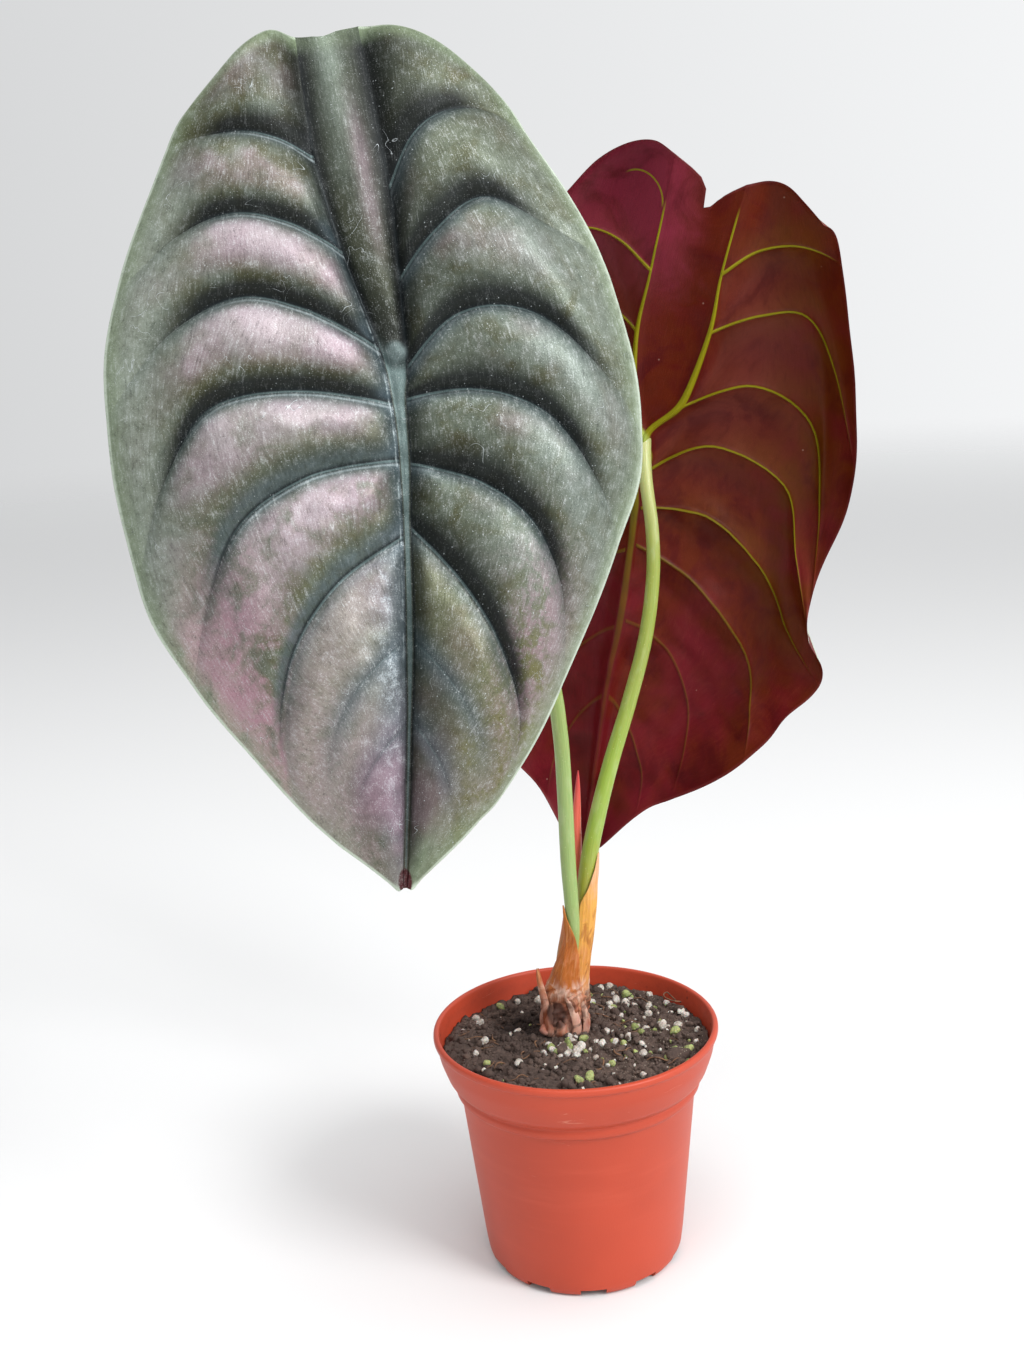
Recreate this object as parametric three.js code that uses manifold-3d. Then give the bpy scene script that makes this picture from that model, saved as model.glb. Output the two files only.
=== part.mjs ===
// A potted alocasia: two peltate leaves on their stalks, a rolled new leaf and two dry sheaths on one short
// stem, in the soil of a thin plastic nursery pot. Millimetres, +Z up, origin under the middle of the pot.

import * as THREE from 'three';
import { mergeVertices } from 'three/addons/utils/BufferGeometryUtils.js';
import Module from 'manifold-3d';

const wasm = await Module();
wasm.setup();

// Driving dimensions

const GAP = 0.3; // clearance between pieces that touch

const POT_HEIGHT = 77;
const POT_RIM_RADIUS = 45;
const POT_BASE_RADIUS = 29;
const POT_WALL = 1.3;
const COLLAR_HEIGHT = 19;
const FOOT_NOTCHES = 11;
const NOTCH_WIDTH = 8;
const NOTCH_HEIGHT = 2.6;
const NOTCH_REACH = [24, 40]; // from the pot's axis, through the corner of floor and wall
const NOTCH_START = 0.3; // where the first one stands, in steps from +x
const POT_SEGMENTS = 40;

const SOIL_DEPTH_UNDER_RIM = 6;
const SOIL_RELIEF = 1.1;
const SOIL_HOLLOW = { at: [-20, 22], depth: 4.5, width: 11 };
const SOIL_RISE = { height: 1.6, width: 9 }; // in front of the stem
const PERLITE_GRAINS = 34;
const PERLITE_RADIUS = 1.8;
const PERLITE_REACH = 36; // the grains lie this near to the pot's axis
const GRAIN_SINK = 0.5; // a grain's middle lies this far under the soil's surface

const STEM_AXIS = [-4.4, 8]; // where the stem stands in the soil, in x and y
const STEM_LEAN = 2.4; // how far the stem's top has moved over to +x
const STEM_BOTTOM = 46;
const STEM_TOP = 82.7;
const STEM_RADIUS = 7.4; // the corm, in the soil
const STEM_NECK = 6; // the stem above it
const STEM_SIDES = 20;
const STEM_STEPS = 14;

const BLADE_THICKNESS = 1;
const BLADE_BEND_RADIUS = 700; // lengthwise, the tip and the lobes bend back
const PILLOW_STEEPNESS = 0.17; // height of a pillow over its width
const PILLOW_LIMIT = 4;

// Small helpers

const clamp01 = (x) => Math.min(1, Math.max(0, x));
const smooth = (low, high, x) => {
  const s = clamp01((x - low) / (high - low));
  return s * s * (3 - 2 * s);
};
const bell = (x, width) => Math.exp(-((x / width) ** 2));
const mix = (a, b, k) => a + (b - a) * k;
const vector = ([x, y, z]) => new THREE.Vector3(x, y, z);

// A smooth curve through plane points, read at a fractional index of them
function through(points) {
  const curve = new THREE.SplineCurve(points.map(([x, y]) => new THREE.Vector2(x, y)));
  return (index) => curve.getPoint(clamp01(index / (points.length - 1)));
}

// A smooth line of numbers, one at each whole index
function numbers(values) {
  const curve = through(values.map((value, i) => [i, value]));
  return (index) => curve(index).y;
}

function geometryOf(points, triangles) {
  const geometry = new THREE.BufferGeometry();
  geometry.setAttribute('position', new THREE.Float32BufferAttribute(points.flat(), 3));
  geometry.setIndex(triangles.flat());
  geometry.computeVertexNormals();
  return geometry;
}

// A thin closed solid between two like grids of points, rows by columns, split alike on both faces
function slab(upper, lower) {
  const rows = upper.length;
  const columns = upper[0].length;
  const points = [...upper.flat(), ...lower.flat()];
  const at = (face, i, j) => face * rows * columns + i * columns + j;
  const triangles = [];
  for (let i = 0; i + 1 < rows; i++) {
    for (let j = 0; j + 1 < columns; j++) {
      const [a, b, c, d] = [at(0, i, j), at(0, i + 1, j), at(0, i + 1, j + 1), at(0, i, j + 1)];
      const under = rows * columns;
      triangles.push([a, b, c], [a, c, d]);
      triangles.push([a + under, c + under, b + under], [a + under, d + under, c + under]);
    }
  }
  const edge = [];
  for (let j = 0; j + 1 < columns; j++) {
    edge.push([0, j]);
  }
  for (let i = 0; i + 1 < rows; i++) {
    edge.push([i, columns - 1]);
  }
  for (let j = columns - 1; j > 0; j--) {
    edge.push([rows - 1, j]);
  }
  for (let i = rows - 1; i > 0; i--) {
    edge.push([i, 0]);
  }
  edge.forEach(([i, j], n) => {
    const [k, l] = edge[(n + 1) % edge.length];
    triangles.push([at(0, i, j), at(0, k, l), at(1, k, l)], [at(0, i, j), at(1, k, l), at(1, i, j)]);
  });
  return geometryOf(points, triangles);
}

// A closed round solid: rings of points one above the other, each end closed at its middle
function ringed(rings) {
  const sides = rings[0].length;
  const middle = (ring) => [0, 1, 2].map((k) => ring.reduce((sum, point) => sum + point[k], 0) / sides);
  const points = [...rings.flat(), middle(rings[0]), middle(rings.at(-1))];
  const bottom = rings.length * sides;
  const triangles = [];
  for (let j = 0; j < sides; j++) {
    const next = (j + 1) % sides;
    for (let i = 0; i + 1 < rings.length; i++) {
      const [a, b] = [i * sides + j, i * sides + next];
      triangles.push([a, b, b + sides], [a, b + sides, a + sides]);
    }
    triangles.push([bottom, next, j]);
    triangles.push([bottom + 1, bottom - sides + j, bottom - sides + next]);
  }
  return geometryOf(points, triangles);
}

// A stalk along a smooth path, with its radius given at each point of the path
function stalk(path, radii, sides, steps) {
  const curve = new THREE.CatmullRomCurve3(path.map(vector), false, 'centripetal');
  const frames = curve.computeFrenetFrames(steps);
  const thickness = numbers(radii);
  const rings = [];
  for (let i = 0; i <= steps; i++) {
    const along = curve.getUtoTmapping(i / steps);
    const centre = curve.getPoint(along);
    const radius = thickness(along * (path.length - 1));
    const ring = [];
    for (let j = 0; j < sides; j++) {
      const angle = (2 * Math.PI * j) / sides;
      const point = centre.clone();
      point.addScaledVector(frames.normals[i], radius * Math.cos(angle));
      point.addScaledVector(frames.binormals[i], radius * Math.sin(angle));
      ring.push(point.toArray());
    }
    rings.push(ring);
  }
  return ringed(rings);
}

function solid(geometry) {
  let bare = geometry.clone();
  bare.deleteAttribute('normal');
  bare.deleteAttribute('uv');
  bare = mergeVertices(bare, 1e-4);
  const vertProperties = new Float32Array(bare.attributes.position.array);
  const triVerts = new Uint32Array(bare.index.array);
  return new wasm.Manifold(new wasm.Mesh({ numProp: 3, vertProperties, triVerts }));
}

function geometryFrom(manifold) {
  const { vertProperties, triVerts } = manifold.getMesh();
  const geometry = new THREE.BufferGeometry();
  geometry.setAttribute('position', new THREE.BufferAttribute(vertProperties, 3));
  geometry.setIndex(new THREE.BufferAttribute(triVerts, 1));
  geometry.computeVertexNormals();
  return geometry;
}

const group = new THREE.Group();

function add(name, geometry, colour, roughness, metalness = 0) {
  const material = new THREE.MeshStandardMaterial({ color: colour, roughness, metalness });
  const mesh = new THREE.Mesh(geometry, material);
  mesh.name = name;
  group.add(mesh);
  return mesh;
}

// The pot: one thin wall from the floor to the rolled lip, turned about the z axis

const COLLAR_FOOT = POT_HEIGHT - COLLAR_HEIGHT;
const NECK_RADIUS = 37.2; // the body, right under the collar
const potOutside = [
  [0, 0],
  [POT_BASE_RADIUS - 1, 0],
  [POT_BASE_RADIUS + 1.2, 0.5],
  [POT_BASE_RADIUS + 2.3, 2],
  [POT_BASE_RADIUS + 3.2, 8],
  [NECK_RADIUS, COLLAR_FOOT - 0.6],
  [NECK_RADIUS + 1.3, COLLAR_FOOT],
  [NECK_RADIUS + 1.7, COLLAR_FOOT + 1.5],
  [NECK_RADIUS + 1.4, COLLAR_FOOT + 3],
  [POT_RIM_RADIUS - 3.8, COLLAR_FOOT + 5],
  [POT_RIM_RADIUS - 1.6, POT_HEIGHT - 7],
  [POT_RIM_RADIUS - 0.7, POT_HEIGHT - 2.2],
  [POT_RIM_RADIUS, POT_HEIGHT - 1.4],
  [POT_RIM_RADIUS - 0.2, POT_HEIGHT - 0.3],
  [POT_RIM_RADIUS - 0.9, POT_HEIGHT],
];
const potInside = [
  [POT_RIM_RADIUS - 1.8, POT_HEIGHT - 0.4],
  [POT_RIM_RADIUS - 2.1, POT_HEIGHT - 2],
  [POT_RIM_RADIUS - 3, POT_HEIGHT - 7],
  [POT_RIM_RADIUS - 5.2, COLLAR_FOOT + 5],
  [NECK_RADIUS - POT_WALL, COLLAR_FOOT],
  [POT_BASE_RADIUS + 3.2 - POT_WALL, 8],
  [POT_BASE_RADIUS + 0.6, POT_WALL + 0.8],
  [POT_BASE_RADIUS - 1, POT_WALL],
  [0, POT_WALL],
];

const potTurned = new THREE.LatheGeometry(
  [...potOutside, ...potInside].map(([radius, height]) => new THREE.Vector2(radius, height)),
  POT_SEGMENTS,
);
potTurned.rotateX(Math.PI / 2);

// Each notch of the bottom edge is cut through the corner of floor and wall, and lets water out
let pot = solid(potTurned);
for (let i = 0; i < FOOT_NOTCHES; i++) {
  const [inner, outer] = NOTCH_REACH;
  const notch = new THREE.BoxGeometry(outer - inner, NOTCH_WIDTH, NOTCH_HEIGHT * 2);
  notch.translate((inner + outer) / 2, 0, 0);
  notch.rotateZ((2 * Math.PI * (i + NOTCH_START)) / FOOT_NOTCHES);
  pot = pot.subtract(solid(notch));
}
add('pot', geometryFrom(pot), 0xe0553c, 0.45);

// The stem: a corm in the soil and a ringed neck above it, leaning to +x

const stemCentre = (z) => STEM_AXIS[0] + STEM_LEAN * smooth(60, STEM_TOP, z);

function stemGeometry(spread) {
  const rings = [];
  for (let i = 0; i <= STEM_STEPS; i++) {
    const part = i / STEM_STEPS;
    const z = mix(STEM_BOTTOM - spread, STEM_TOP, part);
    const corm = STEM_RADIUS * Math.sqrt(1 - 0.75 * (1 - smooth(-0.1, 0.4, part)) ** 2);
    const scars = 0.25 * (i % 3 === 0 ? 1 : 0);
    const round = mix(corm, STEM_NECK, smooth(0.45, 0.65, part)) + scars + spread;
    const ring = [];
    for (let j = 0; j < STEM_SIDES; j++) {
      const angle = (2 * Math.PI * j) / STEM_SIDES;
      const radius = round * (1 + 0.03 * Math.sin(3 * angle + i));
      ring.push([stemCentre(z) + radius * Math.cos(angle), STEM_AXIS[1] + radius * Math.sin(angle), z]);
    }
    rings.push(ring);
  }
  return ringed(rings);
}
add('stem', stemGeometry(0), 0x8a5a3c, 0.8);

// The soil: it fills the pot up to a crumbly surface, with perlite grains sunk in it

const SOIL_LEVEL = POT_HEIGHT - SOIL_DEPTH_UNDER_RIM;

// Low rolling relief, with a hollow at the left behind the stem and a rise in front of the stem
function soilHeight(x, y) {
  const rolling = 0.6 * Math.sin(x * 0.31 + 1.3) * Math.cos(y * 0.27) + 0.4 * Math.sin(x * 0.83 + y * 0.61);
  const fromHollow = Math.hypot(x - SOIL_HOLLOW.at[0], y - SOIL_HOLLOW.at[1]);
  const fromRise = Math.hypot(x - STEM_AXIS[0] - 3, y - STEM_AXIS[1] + 4);
  const hollow = SOIL_HOLLOW.depth * bell(fromHollow, SOIL_HOLLOW.width);
  const rise = SOIL_RISE.height * bell(fromRise, SOIL_RISE.width);
  return SOIL_LEVEL + SOIL_RELIEF * rolling - hollow + rise;
}

// The clear inner radius of the pot at a height
function potBore(z) {
  const wall = potInside.toReversed();
  const above = wall.findIndex(([, height]) => height > z);
  const [[r0, z0], [r1, z1]] = [wall[above - 1], wall[above]];
  return mix(r0, r1, (z - z0) / (z1 - z0));
}

const SOIL_SIDES = 36;
const FACET_SAG = 1 - Math.cos(Math.PI / SOIL_SIDES); // a polygon's flats lie this share inside its circle
const soilRings = [];
for (const z of [POT_WALL + GAP, 8, 30, COLLAR_FOOT]) {
  soilRings.push([z, (potBore(z) - GAP) * (1 - FACET_SAG)]);
}
const soilWall = soilRings.map(([z, radius]) => {
  const ring = [];
  for (let j = 0; j < SOIL_SIDES; j++) {
    const angle = (2 * Math.PI * j) / SOIL_SIDES;
    ring.push([radius * Math.cos(angle), radius * Math.sin(angle), z]);
  }
  return ring;
});
const soilTop = [1, 0.86, 0.72, 0.58, 0.44, 0.3, 0.15].map((part) => {
  const ring = [];
  for (let j = 0; j < SOIL_SIDES; j++) {
    const angle = (2 * Math.PI * j) / SOIL_SIDES;
    const radius = part * (potBore(SOIL_LEVEL - 1) - 2 * GAP) * (1 - FACET_SAG);
    const [x, y] = [radius * Math.cos(angle), radius * Math.sin(angle)];
    ring.push([x, y, soilHeight(x, y)]);
  }
  return ring;
});
let soil = solid(ringed([...soilWall, ...soilTop]));

// A seeded row of random numbers from 0 to 1
function seeded(seed) {
  let state = seed;
  return () => {
    state = (state * 1664525 + 1013904223) % 4294967296;
    return state / 4294967296;
  };
}

const chance = seeded(11);
for (let i = 0; i < PERLITE_GRAINS; i++) {
  const angle = 2 * Math.PI * chance();
  const reach = PERLITE_REACH * Math.sqrt(chance());
  const [x, y] = [reach * Math.cos(angle), reach * Math.sin(angle)];
  const clearOfStem = Math.hypot(x - STEM_AXIS[0], y - STEM_AXIS[1]) > STEM_RADIUS + 2;
  if (!clearOfStem) {
    continue;
  }
  const grain = new THREE.IcosahedronGeometry(PERLITE_RADIUS * mix(0.6, 1.3, chance()), 0);
  grain.rotateX(6 * chance());
  grain.rotateZ(6 * chance());
  grain.translate(x, y, soilHeight(x, y) - GRAIN_SINK);
  soil = soil.add(solid(grain));
}
soil = soil.subtract(solid(stemGeometry(GAP)));

// What stands on the stem's flat top

const STALK_FOOT = STEM_TOP + GAP;
const FOOT_SPARE = 2; // a stalk is drawn this much too long below, then cut flat
const CUTTER_LIFT = 12; // the blade that trims its stalk is this much thicker upward

function standing(geometry) {
  return solid(geometry).trimByPlane([0, 0, 1], STALK_FOOT);
}

// Leaf blades

// A blade is drawn on a plane with its stalk at 0, 0: the first number runs down to the tip, the second to
// the right of someone who faces the upper side. Each row is one side vein from the rib that carries it out
// to the margin, in five points. The first row is the edge of a back lobe, and all rows end in the tip.
// The top edge joins the ends of the two ribs across the notch.

const FRONT_LEAF = {
  topEdge: [[-81.5, -17], [-81, -13.5], [-80.5, -10], [-82.5, -6], [-84, -1]],
  left: [
    [[-81.5, -17], [-82.5, -23], [-78.5, -30], [-72, -37], [-65, -44.5]],
    [[-50, -15], [-53.5, -23], [-55.5, -32], [-55.5, -42], [-55, -51]],
    [[-25.5, -10], [-32, -23], [-34.5, -36], [-30.5, -50], [-18.5, -66.5]],
    [[-1, -3], [-10.5, -21], [-13.5, -37], [-5.5, -55], [12, -71]],
    [[13, -1], [9.5, -24], [13, -45.5], [30.5, -58.5], [52.5, -67]],
    [[27, -0.5], [30, -22], [40.5, -40], [58, -49.5], [79, -56]],
    [[46, -1], [56.5, -18], [72, -30], [91, -35], [110, -34]],
    [[72, -2.5], [77, -10], [86, -18], [99, -23.5], [120, -25.5]],
    [[93, -4], [97, -9], [103, -14], [111.5, -17.5], [127, -18]],
    [[134.4, -8], [134.6, -8.3], [134.8, -8.7], [135, -9], [135, -9.4]],
  ],
  right: [
    [[-84, -1], [-83, 7], [-80, 15], [-75, 23], [-68, 31.5]],
    [[-41.5, 3], [-52.5, 9], [-58.5, 17], [-60, 27.5], [-56, 40]],
    [[-18, 3.5], [-28, 12.5], [-36, 25], [-30.5, 40], [-22, 57]],
    [[4, 3.5], [-7.5, 17], [-6.5, 35.5], [8.5, 52.5], [23.5, 63]],
    [[12, 2.5], [11.5, 20], [19, 37], [36.5, 49], [51, 55]],
    [[28, 2.2], [34.5, 19], [45.5, 31], [63, 37.5], [86, 37.5]],
    [[44, 1], [57.5, 11.5], [74, 20], [93, 24.5], [112, 21.5]],
    [[72, -0.5], [80, 5.5], [89, 10.5], [102, 14.5], [120, 13]],
    [[92, -2.5], [98, 1], [105, 4], [114, 5.5], [127, 4.5]],
    [[134.4, -7], [134.6, -6.7], [134.8, -6.3], [135, -6], [135, -5.6]],
  ],
  arch: 7,
  curl: 6,
  wave: 0.8,
  stalkAt: [-39.3, -58, 287.1],
  faces: -1,
  tilt: 12,
  yaw: 8,
  roll: 0,
};

const BACK_LEAF = {
  topEdge: [[-79.5, -22.5], [-75, -15.5], [-69.5, -11], [-79, -10.5], [-86, -1.5]],
  left: [
    [[-79.5, -22.5], [-81, -28.5], [-80, -34], [-76, -39.5], [-71, -45.5]],
    [[-53.5, -18.5], [-60, -27], [-63, -37], [-62.5, -46], [-60.5, -53]],
    [[-35.5, -17], [-41.5, -31], [-42.5, -45], [-26.5, -56], [1.5, -66.5]],
    [[-11, -11], [-19.5, -32], [-9.5, -51], [15.5, -57.5], [43, -60]],
    [[11, -2], [1.5, -21.5], [11, -45.5], [33.5, -53], [57, -61]],
    [[23, -1.8], [25.5, -24.5], [42.5, -44], [61.5, -55], [75, -67]],
    [[36, -1.6], [48, -21.5], [70, -41.5], [88.5, -46], [103, -47]],
    [[62.5, -1], [73.5, -15.5], [91.5, -24.5], [108, -26], [123, -24]],
    [[90.5, 1.5], [99, -4], [108.5, -9], [119.5, -13], [132, -13]],
    [[149, 3], [149.2, 2.7], [149.4, 2.3], [149.6, 1.9], [149.6, 1.5]],
  ],
  right: [
    [[-86, -1.5], [-89, 5], [-87.5, 13], [-82, 21.5], [-73, 29]],
    [[-52.5, 2.5], [-59, 12], [-62, 22], [-60.5, 32.5], [-57.5, 40]],
    [[-33.5, 5], [-40.5, 17.5], [-42.5, 31.5], [-34, 43], [-9.5, 53]],
    [[-10, 4], [-18, 20.5], [-17.5, 38], [1, 50], [31.5, 57]],
    [[12, 2], [3.5, 21], [12, 41], [34.5, 51.5], [55, 55]],
    [[24, 1.8], [25, 21], [42.5, 40.5], [61.5, 48.5], [78.5, 51]],
    [[38, 1.6], [49, 17.5], [68, 35], [85.5, 40], [99.5, 41]],
    [[65.5, 2.5], [77.5, 14.5], [93, 23.5], [107, 26.5], [119.5, 30]],
    [[90.5, 3.9], [100, 11], [110.5, 16], [119.5, 18.5], [131, 18.5]],
    [[149, 4], [149.2, 4.3], [149.4, 4.7], [149.6, 5.1], [149.6, 5.5]],
  ],
  arch: 6,
  curl: 4,
  wave: 3.2,
  stalkAt: [31.5, 38, 256.7],
  faces: 1,
  tilt: 12,
  yaw: -15,
  roll: 10,
};

const LAST_ROW = 9;
const ROW_PARTS = [0, 0.09, 0.36, 0.64, 0.91];
const HALF_COLUMNS = [1, 0.92, 0.8, 0.66, 0.5, 0.34, 0.18, 0.06, 0];
const MIDDLE_COLUMNS = [0.25, 0.5, 0.75];

// One half of a blade as a function: where it lies at row p and at the share t from rib to margin
function halfBlade(rows) {
  const knots = [0, 1, 2, 3, 4].map((k) => through(rows.map((row) => row[k])));
  return (p, t) => through(knots.map((knot) => knot(p).toArray()))(4 * t);
}

// The strip between the two ribs, at row p and the share s across it. Its top end follows the notch
function middleStrip(leaf, leftHalf, rightHalf) {
  const edge = through(leaf.topEdge);
  return (p, s) => {
    const between = leftHalf(p, 0).lerp(rightHalf(p, 0), s);
    const straight = leftHalf(0, 0).lerp(rightHalf(0, 0), s);
    return between.addScaledVector(edge(4 * s).sub(straight), (1 - clamp01(p)) ** 3);
  };
}

// Height of the pillow between two side veins, with its crown nearer to the upper one
function pillow(half, p, t) {
  const row = Math.min(Math.floor(p), LAST_ROW - 1);
  const width = half(row, t).distanceTo(half(row + 1, t));
  const rounded = Math.max(0, Math.sin(Math.PI * clamp01(p - row) ** 0.8)) ** 0.75;
  const fade = smooth(0, 0.12, t) * (1 - 0.8 * smooth(0.6, 1, t));
  return Math.min(PILLOW_LIMIT, PILLOW_STEEPNESS * width) * rounded * fade;
}

// Each half is arched from rib to margin, where it curls back in waves. Lobes and tip are flatter
function sideHeight(leaf, half, p, t) {
  const arched = leaf.arch * Math.sin(Math.PI * t ** 0.9) - leaf.curl * t ** 4;
  const waved = leaf.wave * t ** 3 * Math.sin(2.6 * p + 1);
  const lobes = 0.5 + 0.5 * smooth(0, 2, p);
  const tip = (1 - 0.6 * smooth(6.5, 8.9, p)) * (1 - smooth(8.6, 8.95, p));
  return (arched + waved) * lobes * tip + pillow(half, p, t);
}

// Under the blade a rib stands proud along each side vein, and along the rib that carries them
function sideRib(p, t) {
  const onVein = Math.abs(p - Math.round(p)) < 0.01 && p > 0.5 && p < LAST_ROW - 0.5;
  return (onVein ? mix(1.1, 0.3, t) : 0) + bell(t, 0.03) * mix(1.3, 0.2, p / LAST_ROW);
}

// A bulge above the stalk and, under it, one keel: the midrib
const middleHeight = (p, s) => 2.6 * (1 - smooth(2, 3, p)) * Math.sin(Math.PI * s);
const middleRib = (p, s) => mix(2.2, 0.3, p / LAST_ROW) * smooth(2, 3, p) * Math.sin(Math.PI * s);

// The upper and lower face of a blade as grids. clear pads both, and lift raises the upper one
function bladeFaces(leaf, clear = 0, lift = 0) {
  const leftHalf = halfBlade(leaf.left);
  const rightHalf = halfBlade(leaf.right);
  const middle = middleStrip(leaf, leftHalf, rightHalf);
  const faces = [[], []];
  for (let n = 0; n <= LAST_ROW * ROW_PARTS.length; n++) {
    const p = Math.floor(n / ROW_PARTS.length) + ROW_PARTS[n % ROW_PARTS.length];
    const half = (side, t) => [side(p, t), sideHeight(leaf, side, p, t), sideRib(p, t)];
    const row = [
      ...HALF_COLUMNS.map((t) => half(leftHalf, t)),
      ...MIDDLE_COLUMNS.map((s) => [middle(p, s), middleHeight(p, s), middleRib(p, s)]),
      ...HALF_COLUMNS.toReversed().map((t) => half(rightHalf, t)),
    ];
    const heights = row.map(([{ x, y }, height, rib]) => {
      const bent = height - (x - 20) ** 2 / (2 * BLADE_BEND_RADIUS);
      const fromStalk = Math.hypot(x, y - 1);
      const top = bent + BLADE_THICKNESS / 2 + 0.9 * bell(fromStalk, 3);
      return [x, y, top, bent - BLADE_THICKNESS / 2 - rib - 1.6 * bell(fromStalk, 5)];
    });
    faces[0].push(heights.map(([x, y, top]) => [x, y, top + clear + lift]));
    faces[1].push(heights.map(([x, y, , bottom]) => [x, y, bottom - clear]));
  }
  return faces;
}

// Turns a blade from its drawing plane to its place: the tip hangs down and swings out, tilt degrees
function setLeaf(mesh, leaf) {
  const [tilt, yaw, roll] = [leaf.tilt, leaf.yaw, leaf.roll].map(THREE.MathUtils.degToRad);
  const down = new THREE.Vector3(0, leaf.faces * Math.sin(tilt), -Math.cos(tilt));
  const across = new THREE.Vector3(-leaf.faces, 0, 0);
  const upright = new THREE.Vector3(0, 0, 1);
  down.applyAxisAngle(upright, yaw);
  across.applyAxisAngle(upright, yaw);
  const out = new THREE.Vector3().crossVectors(down, across);
  down.applyAxisAngle(out, roll);
  across.applyAxisAngle(out, roll);
  mesh.setRotationFromMatrix(new THREE.Matrix4().makeBasis(down, across, out));
  mesh.position.set(...leaf.stalkAt);
  mesh.updateMatrixWorld();
}

// A stalk stands flat on the stem and ends in the blade it carries, GAP under its underside
function trimmed(geometry, leaf, mesh) {
  const cutter = slab(...bladeFaces(leaf, GAP, CUTTER_LIFT)).applyMatrix4(mesh.matrixWorld);
  return geometryFrom(standing(geometry).subtract(solid(cutter)));
}

const leafFront = add('leaf_front', slab(...bladeFaces(FRONT_LEAF)), 0x6f756c, 0.35, 0.4);
setLeaf(leafFront, FRONT_LEAF);
const leafBack = add('leaf_back', slab(...bladeFaces(BACK_LEAF)), 0x6a1c26, 0.4);
setLeaf(leafBack, BACK_LEAF);

// The stalks, from the top of the stem to their blades. Their paths start a little lower, for a flat foot

const frontPath = [
  [-3.9, 5, STALK_FOOT - FOOT_SPARE],
  [-1.6, 4, 95],
  [0, 3.6, 107],
  [0.3, 3.3, 130],
  [0.3, 2, 152],
  [-0.3, -3, 172],
  [-2.5, -11, 192],
  [-9, -25, 219],
  [-20, -41, 248],
  [-31, -52, 271],
  [-37, -56, 283],
  [-39.3, -58, 287.4],
];
const backPath = [
  [0.4, 9.6, STALK_FOOT - FOOT_SPARE],
  [2.4, 9.2, 95],
  [4.5, 8.8, 108],
  [7, 9, 127],
  [11, 11, 143],
  [16, 14.5, 158.5],
  [22.5, 18.5, 176],
  [28.5, 22, 195],
  [31.8, 25, 213],
  [32.4, 27.5, 228],
  [31.3, 31.5, 244],
  [31.5, 38, 257],
];
const stalkFront = stalk(frontPath, [2.4, 2.4, 2.4, 2.4, 2.35, 2.3, 2.25, 2.2, 2.1, 2, 2, 2.2], 10, 36);
const stalkBack = stalk(backPath, [2.9, 3, 2.9, 2.7, 2.6, 2.5, 2.35, 2.25, 2.15, 2.1, 2.1, 2.4], 10, 36);
add('petiole_front', trimmed(stalkFront, FRONT_LEAF, leafFront), 0x9cc283, 0.4);
add('petiole_back', trimmed(stalkBack, BACK_LEAF, leafBack), 0xa9bf5c, 0.4);

// The rolled new leaf, between and behind the two stalks
const shootPath = [
  [-4.8, 10.6, STALK_FOOT - FOOT_SPARE],
  [-2.8, 11, 95],
  [-0.8, 11.6, 105],
  [3.2, 12.6, 127],
  [4, 12.8, 139],
  [4.8, 12.8, 150],
  [5.2, 12.8, 156],
];
const shoot = stalk(shootPath, [1.8, 1.8, 1.7, 1.65, 1.5, 0.9, 0.25], 8, 20);
add('new_shoot', geometryFrom(standing(shoot)), 0xd6574d, 0.45);

// The dry sheaths: papery tongues wrapped round the stem that narrow upward to a point beside a stalk

const SHEATH_WALL = 0.7;
const SHEATH_FOOT = SOIL_LEVEL + 1.6;
const SHEATH_STEPS = 16;
const SHEATH_COLUMNS = 12;

// One sheath: its axis, radius and the two angles of its edges, each given at every height of its list
function sheath({ heights, axisX, axisY, radius, from, to, pleat }) {
  const [xs, ys, rs, starts, ends] = [axisX, axisY, radius, from, to].map(numbers);
  const height = numbers(heights);
  const faces = [[], []];
  for (let i = 0; i <= SHEATH_STEPS; i++) {
    const index = (i / SHEATH_STEPS) * (heights.length - 1);
    faces.forEach((face, side) => {
      const row = [];
      for (let j = 0; j <= SHEATH_COLUMNS; j++) {
        const part = j / SHEATH_COLUMNS;
        const angle = THREE.MathUtils.degToRad(mix(starts(index), ends(index), part));
        const fold = pleat * Math.sin(6 * angle + 0.8 * i) * Math.sin(Math.PI * part);
        const reach = rs(index) + Math.max(0, fold) + (side === 0 ? SHEATH_WALL : 0);
        row.push([xs(index) + reach * Math.cos(angle), ys(index) + reach * Math.sin(angle), height(index)]);
      }
      face.push(row.toReversed());
    });
  }
  return slab(...faces);
}

const sheathRight = sheath({
  heights: [SHEATH_FOOT, 78, 84, 92, 103, 115, 128],
  axisX: [-3, -2.3, -1.9, 0.9, 4, 5.8, 7.4],
  axisY: [8, 8, 8.2, 9, 8.9, 8.9, 9],
  radius: [7.1, 7, 6.9, 4.7, 3.7, 3.5, 3.4],
  from: [-75, -76, -78, -84, -97, -92, -40],
  to: [130, 128, 122, 105, 75, 40, -6],
  pleat: 0.35,
});
add('sheath_right', sheathRight, 0xc98a4a, 0.7);

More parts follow.
